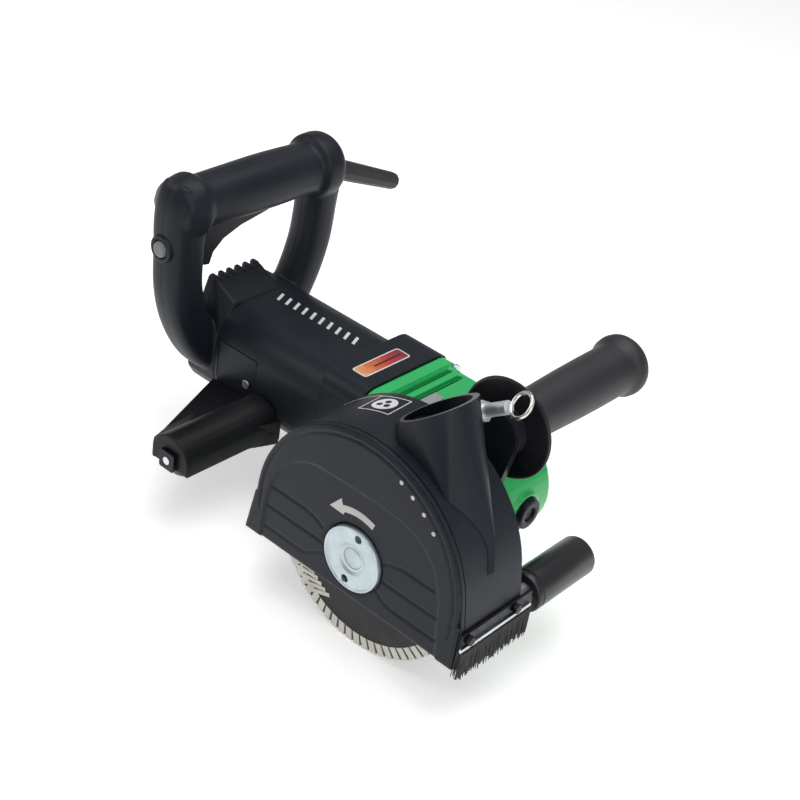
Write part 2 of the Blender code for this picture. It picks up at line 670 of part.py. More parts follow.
def front_roller(pivot):
    x, z = FRONT_ROLLER
    wall = HOOD_FAR_Y + GAP
    profile = [(71.5, 0), (71.5, 4), (7.7, 4), (7.7, 9), (wall, 9), (wall, 4), (wall - 6, 4), (wall - 6, 0)]
    part("front_roller_axle", turned(profile, "Y", (x, 0, z), 16), "dark_steel", pivot=pivot)
    axis = empty("front_roller_axis", (x, 0, z), FRAME)
    profile = [(70, 4.4), (70, 12.5), (68.5, ROLLER_RADIUS), (9.5, ROLLER_RADIUS), (8, 12.5), (8, 4.4),
               (70, 4.4)]
    part("front_roller", turned(profile, "Y", (x, 0, z), 28), "dark_plastic", pivot=axis)


def clamp_direction():
    return Vector((cos(CLAMP_LEAN), 0, sin(CLAMP_LEAN)))


def clamp():
    """The ring bolt that locks the hood's swing, with a pull ring through its end."""
    foot, away = CLAMP_FOOT, clamp_direction()
    axis = empty("clamp_axis", foot, FRAME)
    shank = rod(foot - away * 7, foot + away * 22.5, 4.4, 16)
    flange = rod(foot + away * 0.4, foot + away * 3.6, 7, 6)
    part("clamp_bolt", shank, "zinc_steel", add=[flange], pivot=axis)
    centre = foot + away * 32.5
    tilted = Vector((-away.z, 0, away.x)) * 0.72 + Vector((0, 0.69, 0))
    angles = [2 * pi * i / 20 for i in range(20)]
    points = [centre + away * 8.2 * cos(a) + tilted * 8.2 * sin(a) for a in angles]
    part("clamp_ring", ring_mesh(points, 1.3), "zinc_steel", pivot=axis)


def ring_mesh(points, radius, sides=8):
    """A closed round wire through points."""
    curve = bpy.data.curves.new("wire", "CURVE")
    curve.dimensions = "3D"
    curve.bevel_depth = radius * MM
    curve.bevel_resolution = sides // 4
    spline = curve.splines.new("POLY")
    spline.points.add(len(points) - 1)
    for point, place in zip(spline.points, points):
        point.co = (*(Vector(place) * MM), 1)
    spline.use_cyclic_u = True
    item = bpy.data.objects.new("wire", curve)
    CUTTERS.objects.link(item)
    return baked(item)


# ---------------------------------------------------------------- rear roller

def rear_end():
    x, z = REAR_ROLLER
    near, far = -74.0, 11.6
    arch = [(x - 18, z - 6), (x + 18, z - 6)] + circle(x, z, 18, 13, 0, pi)
    cowl = plate([arch], "Y", near, far)
    start, end = near + 0.6, far - 0.6
    wedge = hull([(x - 18, start, -8), (x + 4, start, 1), (x - 18, start, -24), (x + 8, start, -14),
                  (x - 50, end, -18), (x + 20, end, -18), (x - 50, end, -28), (x + 20, end, -28)])
    room = rod((x, near + 4, z), (x, far - 4, z), ROLLER_RADIUS + 2.2, 28)
    floor = box((x - 15.5, near + 4, BASE_Z - 5), (x + 15.5, far - 4, z))
    hole = rod((x, near - 5, z), (x, far + 5, z), 3.4, 12)
    part("rear_bracket", cowl, "dark_plastic", add=[wedge], cut=[room, floor, hole])
    axis = empty("rear_roller_axis", (x, 0, z), FRAME)
    low, high = near + 4.8, far - 4.8
    profile = [(high, 3.6), (high, 13), (high - 1.5, ROLLER_RADIUS + 1), (low + 1.5, ROLLER_RADIUS + 1),
               (low, 13), (low, 3.6), (high, 3.6)]
    part("rear_roller", turned(profile, "Y", (x, 0, z), 28), "dark_plastic", pivot=axis)
    part("rear_axle", rod((x, near - 3.4, z), (x, far - 0.4, z), 3.1, 12), "zinc_steel")
    nut = plate([rounded_box((x - 7, z - 7), (x + 7, z + 7), 1.5, 3), circle(x, z, 3.4, 12)], "Y",
                near - 3, near - GAP)
    part("rear_axle_nut", nut, "dark_steel")


# ---------------------------------------------------------------- handles

def side_handle():
    x, z = SIDE_HANDLE
    part("handle_stud", rod((x, 12.3, z), (x, 60, z), 5, 16), "zinc_steel")
    guard = [(25, 5.3), (25, 14), (23.5, 33), (21.5, 34), (20.3, 33.5), (20.3, 5.3), (25, 5.3)]
    part("side_handle_guard", turned(guard, "Y", (x, 0, z), 40), "dark_plastic")
    grip = [(153, 0), (153, 15), (151, 19.5), (147, 21.6), (142, 21.2), (136, 18.2), (110, 18.2), (60, 17),
            (36, 16), (25.3, 16), (25.3, 5.3), (61, 5.3), (61, 0)]
    part("side_handle_grip", turned(grip, "Y", (x, 0, z), 32), "black_plastic")


def loop_path():
    """Middle line of the loop handle, from the motor's near side over the grip to its far side."""
    left = [(24, 2), (12, 12), (1, 28), (-8, 48), (-13, 70), (LOOP_LEFT_Y, 96), (LOOP_LEFT_Y, GRIP_Z)]
    right = [(LOOP_RIGHT_Y, GRIP_Z), (LOOP_RIGHT_Y, 96), (118, 70), (112, 48), (103, 28), (92, 8)]
    return left, right


def loop_solid(shrink):
    left, right = loop_path()
    lift = 1 if shrink == 0 else 0
    radius = LOOP_RADIUS - shrink
    leg_left = sweep([(LOOP_X, y, z) for y, z in left], [radius] * len(left))
    leg_right = sweep([(LOOP_X, y, z) for y, z in right], [radius] * len(right))
    grip_radius = GRIP_RADIUS - shrink
    flare = 5.0 * lift
    stations = [(-26, grip_radius - 5), (-23, grip_radius), (-6, grip_radius + flare * 0.7), (-1, grip_radius),
                (60, grip_radius + lift), (104, grip_radius), (111, grip_radius + flare),
                (121, grip_radius + flare), (127, grip_radius - 1), (129, grip_radius - 7)]
    if shrink:
        stations = stations[1:-1]
    bar = sweep([(LOOP_X, y, GRIP_Z) for y, r in stations], [r for y, r in stations])
    boolean(bar, leg_left, "UNION")
    boolean(bar, leg_right, "UNION")
    return bar


def rear_cap(low, high):
    return plate([motor_section(HOUSING_HALF_WIDTH, HOUSING_BOTTOM, HOUSING_TOP, 26)], "X", low, high)


BOOT_START = Vector((LOOP_X, 129, 122))
BOOT_END = Vector((LOOP_X + 6, 201, 95))
LOCK_PLACE = (LOOP_X, 100.0)
TRIGGER_PIVOT = (62.0, 113.0)
TRIGGER_SWING = radians(5)


def trigger_outline(g=0.0):
    """Side view of the trigger (y, z): a finger paddle that hangs in the grip's near corner, grown by g."""
    return [(64 + g, 118 + g), (6 - g, 118 + g), (3.5 - g, 96), (4 - g, 80 - g), (10 + g, 79 - g),
            (13 + g, 88 - g), (22, 96 - g), (38, 102 - g), (56, 105.5 - g), (64 + g, 107 - g)]


def swung_trigger(angle):
    """The trigger's outline with room round it, pulled up by an angle about its pivot."""
    y0, z0 = TRIGGER_PIVOT
    points = []
    for y, z in trigger_outline(0.9):
        points.append((y0 + (y - y0) * cos(angle) + (z - z0) * sin(angle),
                       z0 - (y - y0) * sin(angle) + (z - z0) * cos(angle)))
    return points


def loop_handle():
    outer = loop_solid(0)
    cap = rear_cap(SEAM_X - 30, SEAM_X - GAP)
    vent = hull([(SEAM_X - 27, 25, 60), (SEAM_X - 27, 69, 60), (SEAM_X - 21, 25, 60), (SEAM_X - 21, 69, 60),
                 (SEAM_X - 0.5, 28, 46.5), (SEAM_X - 0.5, 73, 46.5), (SEAM_X - 27, 14, 30),
                 (SEAM_X - 27, 82, 30), (SEAM_X - 0.5, 14, 30), (SEAM_X - 0.5, 82, 30)])
    slots = [box((SEAM_X - 40, 29 + 8 * i, 53), (SEAM_X - 19, 33 + 8 * i, 70)) for i in range(5)]
    inner = loop_solid(LOOP_WALL)
    room = plate([motor_section(HOUSING_HALF_WIDTH - 5, HOUSING_BOTTOM + 4, HOUSING_TOP - 5, 16)], "X",
                 SEAM_X - 22, SEAM_X + 5)
    return outer, [cap, vent], slots, inner, room


def half_of_loop(name, front):
    """One half shell of the loop handle; the halves meet in the loop's middle plane."""
    outer, additions, slots, inner, room = loop_handle()
    for other in additions:
        boolean(outer, other, "UNION")
    low = (LOOP_X + GAP / 2, -300, -300) if front else (-400, -300, -300)
    high = (0, 300, 300) if front else (LOOP_X - GAP / 2, 300, 300)
    keep = box(low, high)
    boolean(outer, inner, "DIFFERENCE")
    boolean(outer, room, "DIFFERENCE")
    boolean(outer, keep, "INTERSECT")
    swings = (0, TRIGGER_SWING / 2, TRIGGER_SWING)
    trigger_ways = [plate([swung_trigger(angle)], "X", LOOP_X - 7.5, LOOP_X + 7.5) for angle in swings]
    lock_way = rod((LOOP_X, -60, LOCK_PLACE[1]), (LOOP_X, -8, LOCK_PLACE[1]), 6.4, 20)
    boot_way = rod(BOOT_START - Vector((0, 12, -4)), BOOT_START + Vector((0, 12, -4)), 6.5, 16)
    shaft_way = rod((-240.5, MOTOR_Y, 0), (-200, MOTOR_Y, 0), 11.3, 20)
    part(name, outer, "black_plastic", cut=slots + trigger_ways + [lock_way, boot_way, shaft_way])


def switch_gear():
    """The switch inside the grip, the finger trigger, the lock-on button and the cable boot."""
    switch = box((LOOP_X - 8, 18, 123.8), (LOOP_X + 8, 56, 135))
    part("switch_body", switch, "dark_plastic", smooth=False)
    y, z = TRIGGER_PIVOT
    axis = empty("trigger_axis", (LOOP_X, y, z), FRAME)
    paddle = plate([trigger_outline()], "X", LOOP_X - 6.7, LOOP_X + 6.7)
    part("trigger", paddle, "dark_plastic", pivot=axis)
    x, z = LOCK_PLACE
    face = LOOP_LEFT_Y - LOOP_RADIUS
    axis = empty("lock_button_axis", (x, face, z), FRAME)
    profile = [(-19, 0), (-19, 4), (-25, 4), (-25, 5.8), (face - 3.5, 5.8), (face - 4, 5), (face - 4, 0)]
    part("lock_button", turned(profile, "Y", (x, 0, z), 20), "dark_steel", pivot=axis)
    travel = (BOOT_END - BOOT_START).normalized()
    shares = (0, 0.12, 0.13, 0.3, 0.55, 0.8, 0.97, 1.0)
    radii = (6.0, 6.0, 7.8, 7.8, 7.4, 7.0, 6.8, 6.2)
    reach = (BOOT_END - BOOT_START).length
    boot = sweep([BOOT_START + travel * reach * share for share in shares], radii, 3)
    mouth = rod(BOOT_END - travel * 3, BOOT_END + travel * 5, 4.2, 16)
    part("cable_boot", boot, "rubber", cut=[mouth])


def spindle_lock():
    axis = empty("spindle_lock_axis", (39, MOTOR_Y, 0), FRAME)
    profile = [(43, 0), (43, 10), (42, 11), (36.7, 11), (36.7, 5), (29, 5), (29, 0)]
    centre = (0, MOTOR_Y, 0)
    dish = rod((41.5, MOTOR_Y, 0), (45, MOTOR_Y, 0), 5, 16)
    part("spindle_lock_button", turned(profile, "X", centre, 24), "dark_plastic", cut=[dish], pivot=axis)


def main():
    motor_housing()
    stator()
    for label, (side, inward) in zip(("near", "far"), sides_of_motor()):
        brush_gear(label, side, inward)
        brush_door(label, side, inward)
    armature()
    gear_housing()
    carrier()
    bearings()
    spindle()
    swing = hood()
    brush_strip(swing)
    front_roller(swing)
    clamp()
    rear_end()
    side_handle()
    half_of_loop("handle_front_shell", True)
    half_of_loop("handle_rear_shell", False)
    switch_gear()
    spindle_lock()


main()
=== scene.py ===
import json
from math import atan2, cos, hypot, pi, radians, sin

import bmesh
import bpy
from mathutils import Matrix, Vector


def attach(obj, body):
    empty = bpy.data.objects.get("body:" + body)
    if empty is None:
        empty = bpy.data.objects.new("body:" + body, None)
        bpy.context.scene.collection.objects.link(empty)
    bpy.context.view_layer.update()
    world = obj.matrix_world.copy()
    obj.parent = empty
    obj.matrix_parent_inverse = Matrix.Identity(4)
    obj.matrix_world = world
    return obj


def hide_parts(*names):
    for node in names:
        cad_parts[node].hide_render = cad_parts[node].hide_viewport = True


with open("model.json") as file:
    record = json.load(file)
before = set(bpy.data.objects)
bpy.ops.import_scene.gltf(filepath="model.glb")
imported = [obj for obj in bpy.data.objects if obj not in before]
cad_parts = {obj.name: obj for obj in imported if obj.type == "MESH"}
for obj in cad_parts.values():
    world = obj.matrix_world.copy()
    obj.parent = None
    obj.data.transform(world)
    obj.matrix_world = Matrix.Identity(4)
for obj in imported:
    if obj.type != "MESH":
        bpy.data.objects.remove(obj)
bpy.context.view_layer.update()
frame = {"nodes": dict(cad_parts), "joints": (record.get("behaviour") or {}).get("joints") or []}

# The wall chaser's own measure: every place below is in millimetres from the middle of the blade
# spindle, with X towards the gear head's nose, Y along the spindle to the side handle and Z up.
SPINDLE = Vector(next(j for j in frame["joints"] if j["name"] == "spindle_turn")["pos_m"])
NODES = frame["nodes"]


def at(x, y, z):
    return SPINDLE + Vector((x, y, z)) * 0.001


# Camera: a long lens above the near side, with the machine turned so that its motor runs away
# to the left and the hood stands in front.
lens = bpy.data.cameras.new("studio_camera")
lens.lens = 68.97
lens.sensor_width = 36.0
lens.clip_end = 20.0
camera = bpy.data.objects.new("studio_camera", lens)
right = Vector((0.73997, 0.65806, 0.13927))
down = Vector((0.44625, -0.32537, -0.83366))
ahead = Vector((-0.50329, 0.67903, -0.53443))
turn = Matrix((right, -down, -ahead)).transposed().to_4x4()
camera.matrix_world = Matrix.Translation(at(453.348, -659.585, 590.313)) @ turn
bpy.context.scene.collection.objects.link(camera)
bpy.context.scene.camera = camera


# Floor and light: a pale sheet that runs out of sight under the blades, and three soft panels.
# The large one above gives the broad sheen on the motor's facets.
floor_mesh = bpy.data.meshes.new("floor")
floor_mesh.from_pydata([(-6, -6, 0), (6, -6, 0), (6, 6, 0), (-6, 6, 0)], [], [(0, 1, 2, 3)])
floor = bpy.data.objects.new("floor", floor_mesh)
floor.location = (0, 0, -0.0005)
bpy.context.scene.collection.objects.link(floor)
floor_finish = bpy.data.materials.new("floor_paint")
floor_finish.use_nodes = True
floor_shader = floor_finish.node_tree.nodes["Principled BSDF"]
floor_shader.inputs["Base Color"].default_value = (0.92, 0.92, 0.92, 1)
floor_shader.inputs["Roughness"].default_value = 0.9
floor_shader.inputs["Specular IOR Level"].default_value = 0.1
floor_shader.inputs["Emission Color"].default_value = (1, 1, 1, 1)
floor_shader.inputs["Emission Strength"].default_value = 0.42
floor_mesh.materials.append(floor_finish)

sky = bpy.data.worlds.new("studio")
sky.use_nodes = True
sky.node_tree.nodes["Background"].inputs["Color"].default_value = (1.0, 1.0, 1.0, 1)
sky.node_tree.nodes["Background"].inputs["Strength"].default_value = 0.33
bpy.context.scene.world = sky
bpy.context.scene.view_settings.view_transform = "Standard"


def panel(name, place, target, size, power):
    light = bpy.data.lights.new(name, "AREA")
    light.shape = "RECTANGLE"
    light.size, light.size_y = size
    light.energy = power
    lamp = bpy.data.objects.new(name, light)
    lamp.location = place
    lamp.rotation_euler = (Vector(target) - Vector(place)).to_track_quat("-Z", "Y").to_euler()
    bpy.context.scene.collection.objects.link(lamp)


panel("panel_above", (0.1, 0.1, 1.5), (0, 0, 0.1), (1.6, 1.2), 15.0)
panel("panel_near_left", (-1.3, -1.0, 1.2), (0, 0, 0.1), (0.7, 0.7), 6.0)
panel("panel_front", (1.4, -0.5, 0.8), (0, 0, 0.1), (0.5, 0.9), 5.0)


# Motor housing: a glass-filled nylon moulding of rounded square section, with a step up to the
# collar that takes the gear head's screws. Moulded in one, eroded to a fine matt grain.
def group_socket(group, name, way, kind, value=None):
    socket = group.interface.new_socket(name=name, in_out=way, socket_type=kind)
    if value is not None:
        socket.default_value = value
    return socket


def link(tree, a, b):
    tree.links.new(a, b)


def node(tree, kind, **settings):
    made = tree.nodes.new(kind)
    for name, value in settings.items():
        setattr(made, name, value)
    return made


def maths(tree, operation, a, b, clamp=False):
    made = node(tree, "ShaderNodeMath", operation=operation, use_clamp=clamp)
    for socket, value in zip(made.inputs, (a, b)):
        if isinstance(value, (int, float)):
            socket.default_value = value
        else:
            link(tree, value, socket)
    return made.outputs[0]


def mixed(tree, share, a, b):
    made = node(tree, "ShaderNodeMix", data_type="RGBA")
    for socket, value in ((made.inputs[0], share), (made.inputs[6], a), (made.inputs[7], b)):
        if isinstance(value, (int, float, tuple)):
            socket.default_value = value
        else:
            link(tree, value, socket)
    return made.outputs[2]


def spotted(tree, place, scale, detail, low, high):
    """A noise over the piece, stretched so that low..high becomes 0..1."""
    noise = node(tree, "ShaderNodeTexNoise")
    noise.inputs["Scale"].default_value = scale
    noise.inputs["Detail"].default_value = detail
    link(tree, place, noise.inputs["Vector"])
    ramp = node(tree, "ShaderNodeMapRange")
    ramp.inputs["From Min"].default_value = low
    ramp.inputs["From Max"].default_value = high
    link(tree, noise.outputs["Fac"], ramp.inputs["Value"])
    return ramp.outputs["Result"]


def surface_group(name, inputs):
    """A shader group with these inputs and the outputs that every finish reads, with its ends and place."""
    group = bpy.data.node_groups.new(name, "ShaderNodeTree")
    for label, kind, value in inputs:
        group_socket(group, label, "INPUT", kind, value)
    for label, kind in (("Colour", "NodeSocketColor"), ("Roughness", "NodeSocketFloat"),
                        ("Height", "NodeSocketFloat")):
        group_socket(group, label, "OUTPUT", kind)
    place = node(group, "ShaderNodeTexCoord").outputs["Object"]
    return group, node(group, "NodeGroupInput"), node(group, "NodeGroupOutput"), place


moulded, g_in, g_out, where = surface_group("moulded_surface", (
    ("Colour", "NodeSocketColor", (0.02, 0.02, 0.02, 1)), ("Shine", "NodeSocketFloat", 0.4),
    ("Dust", "NodeSocketFloat", 0.1)))
grain = node(moulded, "ShaderNodeTexVoronoi", feature="F1")
grain.inputs["Scale"].default_value = 1500
link(moulded, where, grain.inputs["Vector"])
fine = spotted(moulded, where, 2600, 2, 0.3, 0.7)
clouds = spotted(moulded, where, 22, 3, 0.32, 0.68)
scuffs = spotted(moulded, where, 160, 6, 0.62, 0.8)
tone = mixed(moulded, maths(moulded, "MULTIPLY", clouds, 0.16), g_in.outputs["Colour"],
             (0.04, 0.043, 0.05, 1))
dusty = maths(moulded, "MULTIPLY", maths(moulded, "MULTIPLY", scuffs, clouds), g_in.outputs["Dust"])
link(moulded, mixed(moulded, dusty, tone, (0.22, 0.22, 0.23, 1)), g_out.inputs["Colour"])
rough = maths(moulded, "ADD", g_in.outputs["Shine"], maths(moulded, "MULTIPLY", clouds, 0.08))
link(moulded, maths(moulded, "ADD", rough, maths(moulded, "MULTIPLY", scuffs, 0.12), True),
     g_out.inputs["Roughness"])
link(moulded, maths(moulded, "ADD", maths(moulded, "MULTIPLY", grain.outputs["Distance"], 0.7),
                    maths(moulded, "MULTIPLY", fine, 0.5)), g_out.inputs["Height"])


def finish_from(group, name, values, metallic=0.0, bump=0.3, depth=0.0001, coat=0.0, specular=0.5):
    """A material whose colour, roughness and grain come from one of the surface groups."""
    material = bpy.data.materials.new(name)
    material.use_nodes = True
    tree = material.node_tree
    shader = tree.nodes["Principled BSDF"]
    shader.inputs["Metallic"].default_value = metallic
    shader.inputs["Coat Weight"].default_value = coat
    shader.inputs["Specular IOR Level"].default_value = specular
    surface = node(tree, "ShaderNodeGroup")
    surface.node_tree = group
    for key, value in values.items():
        surface.inputs[key].default_value = value
    link(tree, surface.outputs["Colour"], shader.inputs["Base Color"])
    link(tree, surface.outputs["Roughness"], shader.inputs["Roughness"])
    relief = node(tree, "ShaderNodeBump")
    relief.inputs["Strength"].default_value = bump
    relief.inputs["Distance"].default_value = depth
    link(tree, surface.outputs["Height"], relief.inputs["Height"])
    link(tree, relief.outputs["Normal"], shader.inputs["Normal"])
    return material


def plastic(name, colour, shine, dust=0.1, **more):
    """A moulded, painted or printed finish."""
    return finish_from(moulded, name, {"Colour": (*colour, 1), "Shine": shine, "Dust": dust}, **more)


nylon = plastic("nylon_black", (0.0098, 0.0124, 0.0185), 0.36, 0.04, specular=0.2)


def dress(item, material):
    item.data.materials.clear()
    item.data.materials.append(material)


def shown(name, mesh, material, body, replaced=()):
    """Make an object of a finished mesh: its material, its body's empty, and the CAD nodes it replaces
    hidden.
    """
    item = bpy.data.objects.new(name, mesh)
    bpy.context.scene.collection.objects.link(item)
    mesh.name = name
    dress(item, material)
    if replaced:
        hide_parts(*replaced)
    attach(item, body)
    return item


def applied(item):
    """The mesh of an object with all its modifiers worked in; the object itself goes."""
    bpy.context.view_layer.update()
    done = bpy.data.meshes.new_from_object(item.evaluated_get(bpy.context.evaluated_depsgraph_get()))
    bpy.data.objects.remove(item)
    return done


def clean_copy(names, flat=0.8):
    """CAD nodes as one merged mesh with its flat faces made whole again."""
    work = bmesh.new()
    for name in names:
        work.from_mesh(NODES[name].data)
    bmesh.ops.remove_doubles(work, verts=work.verts, dist=2e-6)
    bmesh.ops.dissolve_limit(work, angle_limit=radians(flat), verts=work.verts, edges=work.edges)
    mesh = bpy.data.meshes.new("copy")
    work.to_mesh(mesh)
    work.free()
    item = bpy.data.objects.new("copy", mesh)
    bpy.context.scene.collection.objects.link(item)
    return item


def broken_edges(names, width, segments=2, angle=28):
    """A copy of CAD nodes whose sharp edges are rounded as a mould or a file leaves them."""
    item = clean_copy(names)
    step = item.modifiers.new("round", "BEVEL")
    step.width = width * 0.001
    step.segments = segments
    step.limit_method = "ANGLE"
    step.angle_limit = radians(angle)
    step.miter_outer = "MITER_ARC"
    item.data.shade_smooth()
    item.modifiers.new("even", "WEIGHTED_NORMAL").weight = 90
    return applied(item)


def cast_skin(names, voxel, rounds, keep=0.5, cutters=()):
    """A copy of CAD nodes with soft inner and outer corners, as a thick moulding or casting has."""
    item = clean_copy(names)
    for cutter in cutters:
        cut = item.modifiers.new("cut", "BOOLEAN")
        cut.operation = "DIFFERENCE"
        cut.solver = "EXACT"
        cut.object = cutter
    skin = item.modifiers.new("skin", "REMESH")
    skin.mode = "VOXEL"
    skin.voxel_size = voxel * 0.001
    ease = item.modifiers.new("ease", "SMOOTH")
    ease.factor = 0.5
    ease.iterations = rounds
    thin = item.modifiers.new("thin", "DECIMATE")
    thin.ratio = keep
    mesh = applied(item)
    mesh.shade_smooth()
    for cutter in cutters:
        bpy.data.objects.remove(cutter)
    return mesh


shown("motor_shell", broken_edges(["motor_housing"], 0.9), nylon, "machine",
      ["motor_housing"])


BOX_FACES = [(0, 1, 3, 2), (4, 6, 7, 5), (0, 4, 5, 1), (2, 3, 7, 6), (0, 2, 6, 4), (1, 5, 7, 3)]


def solid(points, faces):
    """A mesh from mm points, with its faces turned outwards."""
    mesh = bpy.data.meshes.new("solid")
    mesh.from_pydata([at(*point) for point in points], [], faces)
    work = bmesh.new()
    work.from_mesh(mesh)
    bmesh.ops.recalc_face_normals(work, faces=work.faces)
    work.to_mesh(mesh)
    work.free()
    return mesh


def slab_on(outline, place, across, up, thick):
    """A thin plate: an outline of (a, b) in mm on the plane through place, raised by thick."""
    across, up = Vector(across).normalized(), Vector(up).normalized()
    out = across.cross(up) * thick
    low = [Vector(place) + across * a + up * b for a, b in outline]
    points = low + [p + out for p in low]
    count = len(outline)
    faces = [tuple(range(count)), tuple(range(count, 2 * count))]
    faces += [(i, (i + 1) % count, (i + 1) % count + count, i + count) for i in range(count)]
    return solid(points, faces)


def laid_on_top(outline, x, y, z, thick):
    """A thin plate that lies on a level face, X across and Y up."""
    return slab_on(outline, (x, y, z), (1, 0, 0), (0, 1, 0), thick)


def rounded_rectangle(a0, b0, a1, b1, radius, steps=4):
    """Corner points (a, b) of a rectangle with round corners, anticlockwise."""
    corners = ((a1 - radius, b1 - radius), (a0 + radius, b1 - radius),
               (a0 + radius, b0 + radius), (a1 - radius, b0 + radius))
    points = []
    for quarter, (a, b) in enumerate(corners):
        for i in range(steps + 1):
            angle = (quarter + i / steps) * pi / 2
            points.append((a + radius * cos(angle), b + radius * sin(angle)))
    return points


def joined(meshes):
    work = bmesh.new()
    for mesh in meshes:
        work.from_mesh(mesh)
        bpy.data.meshes.remove(mesh)
    result = bpy.data.meshes.new("joined")
    work.to_mesh(result)
    work.free()
    return result


# Printed plate on the collar: a plain foil label with a pale border that is bonded into a shallow
# place on the collar's top. Its field runs from orange to red and carries no words.
def foil(name, colours, seat, reach, rough=0.3):
    """A printed foil whose colour runs along Y from one end of the label to the other."""
    material = bpy.data.materials.new(name)
    material.use_nodes = True
    tree = material.node_tree
    shader = tree.nodes["Principled BSDF"]
    place = node(tree, "ShaderNodeTexCoord").outputs["Object"]
    parts = node(tree, "ShaderNodeSeparateXYZ")
    link(tree, place, parts.inputs[0])
    run = node(tree, "ShaderNodeMapRange")
    run.inputs["From Min"].default_value = seat
    run.inputs["From Max"].default_value = seat + reach
    link(tree, maths(tree, "ADD", parts.outputs["Y"],
                     maths(tree, "MULTIPLY", spotted(tree, place, 240, 3, 0.3, 0.7), 0.006)),
         run.inputs["Value"])
    ramp = node(tree, "ShaderNodeValToRGB")
    ramp.color_ramp.elements[0].color = colours[0]
    ramp.color_ramp.elements[1].color = colours[-1]
    for index, colour in enumerate(colours[1:-1], 1):
        ramp.color_ramp.elements.new(index / (len(colours) - 1)).color = colour
    link(tree, run.outputs["Result"], ramp.inputs["Fac"])
    link(tree, ramp.outputs["Color"], shader.inputs["Base Color"])
    wear = spotted(tree, place, 90, 4, 0.35, 0.7)
    link(tree, maths(tree, "ADD", maths(tree, "MULTIPLY", wear, 0.2), rough), shader.inputs["Roughness"])
    return material


white_print = plastic("white_print", (0.72, 0.72, 0.72), 0.35, 0.15)
frame_line = laid_on_top(rounded_rectangle(-6.6, -23.5, 6.6, 23.5, 2.4), -93.6, 50.5, 51.02, 0.12)
shown("label_border", frame_line, white_print, "machine")
field = laid_on_top(rounded_rectangle(-5.5, -22.4, 5.5, 22.4, 1.7), -93.6, 50.5, 51.14, 0.1)
warm = foil("label_field", [(0.75, 0.42, 0.2, 1), (0.62, 0.16, 0.04, 1), (0.45, 0.03, 0.03, 1),
                            (0.22, 0.02, 0.03, 1)], at(0, 27, 0).y, 0.047)
shown("label_field", field, warm, "machine")
stripe = laid_on_top(rounded_rectangle(-0.9, -8, 0.9, 19.5, 0.7), -93.2, 50.5, 51.24, 0.05)
dark_print = plastic("dark_print", (0.05, 0.012, 0.012), 0.35, 0.3)
shown("label_stripe", stripe, dark_print, "machine")


# Pad-printed mark on the motor's top: a plain row of equal slanted bars in light grey, in the
# place where a maker prints a mark.
bar_marks = []
for index in range(10):
    start = -203.5 + index * 8.3
    corners = [(0, 0), (2.6, 0), (-1.2, 9.4), (-3.8, 9.4)]
    bar_marks.append(laid_on_top(corners, start, 58.6, 46.02, 0.08))
shown("motor_bar_mark", joined(bar_marks), white_print, "machine")


# Armature, field and brush gear: the parts of a universal motor that show only when a brush door
# is off: laminated iron, copper commutator, light alloy holders and pressed carbon.
streaked, g_in, g_out, where = surface_group("worked_metal", (
    ("Colour", "NodeSocketColor", (0.6, 0.6, 0.6, 1)), ("Shine", "NodeSocketFloat", 0.3),
    ("Stretch", "NodeSocketVector", (400, 40, 400))))
pulled = node(streaked, "ShaderNodeVectorMath", operation="MULTIPLY")
link(streaked, where, pulled.inputs[0])
link(streaked, g_in.outputs["Stretch"], pulled.inputs[1])
marks = spotted(streaked, pulled.outputs["Vector"], 5, 3, 0.3, 0.7)
patches = spotted(streaked, where, 60, 4, 0.35, 0.7)
darker = node(streaked, "ShaderNodeHueSaturation")
darker.inputs["Value"].default_value = 0.72
link(streaked, g_in.outputs["Colour"], darker.inputs["Color"])
link(streaked, mixed(streaked, maths(streaked, "MULTIPLY", patches, 0.7), g_in.outputs["Colour"],
                     darker.outputs["Color"]), g_out.inputs["Colour"])
link(streaked, maths(streaked, "ADD", g_in.outputs["Shine"],
                     maths(streaked, "MULTIPLY", marks, 0.16)), g_out.inputs["Roughness"])
link(streaked, marks, g_out.inputs["Height"])


def metal(name, colour, shine, stretch, bump=0.25):
    return finish_from(streaked, name, {"Colour": (*colour, 1), "Shine": shine, "Stretch": stretch},
                       metallic=1.0, bump=bump, depth=0.00008)


zinc = metal("zinc_plate", (0.70, 0.74, 0.76), 0.2, (30, 30, 30))
turned_steel = metal("turned_steel", (0.30, 0.30, 0.31), 0.28, (60, 3000, 60))
iron = metal("laminated_iron", (0.16, 0.155, 0.15), 0.42, (2500, 20, 20))
for name in ("stator", "armature_core"):
    dress(NODES[name], iron)
for name in ("armature_shaft", "pinion", "crown_gear", "retaining_ring"):
    dress(NODES[name], turned_steel)
for name in ("armature_bearing_front", "armature_bearing_rear", "spindle_bearing_near",
             "spindle_bearing_far", "inner_flange", "spacer_ring_1", "spacer_ring_2", "spindle_shaft"):
    dress(NODES[name], zinc)
dress(NODES["commutator"], metal("commutator_copper", (0.70, 0.33, 0.17), 0.25, (900, 60, 60)))
for name in ("brush_holder_near", "brush_holder_far"):
    dress(NODES[name], metal(name + "_alloy", (0.62, 0.62, 0.63), 0.3, (60, 900, 60)))
for name in ("carbon_brush_near", "carbon_brush_far"):
    dress(NODES[name], plastic(name + "_carbon", (0.012, 0.012, 0.012), 0.6))
dress(NODES["cooling_fan"], plastic("fan_nylon", (0.012, 0.012, 0.013), 0.5))
dress(NODES["switch_body"], plastic("switch_nylon", (0.011, 0.011, 0.012), 0.5))


# Brush doors: flat moulded covers let into the housing's sides over the carbon brushes, each held
# by one bright screw in a round recess.
for side in ("near", "far"):
    shown("brush_cover_" + side, broken_edges(["brush_door_" + side], 0.5), nylon, "machine",
          ["brush_door_" + side])
    shown("cover_screw_" + side, broken_edges(["brush_door_screw_" + side], 0.35), zinc, "machine",
          ["brush_door_screw_" + side])


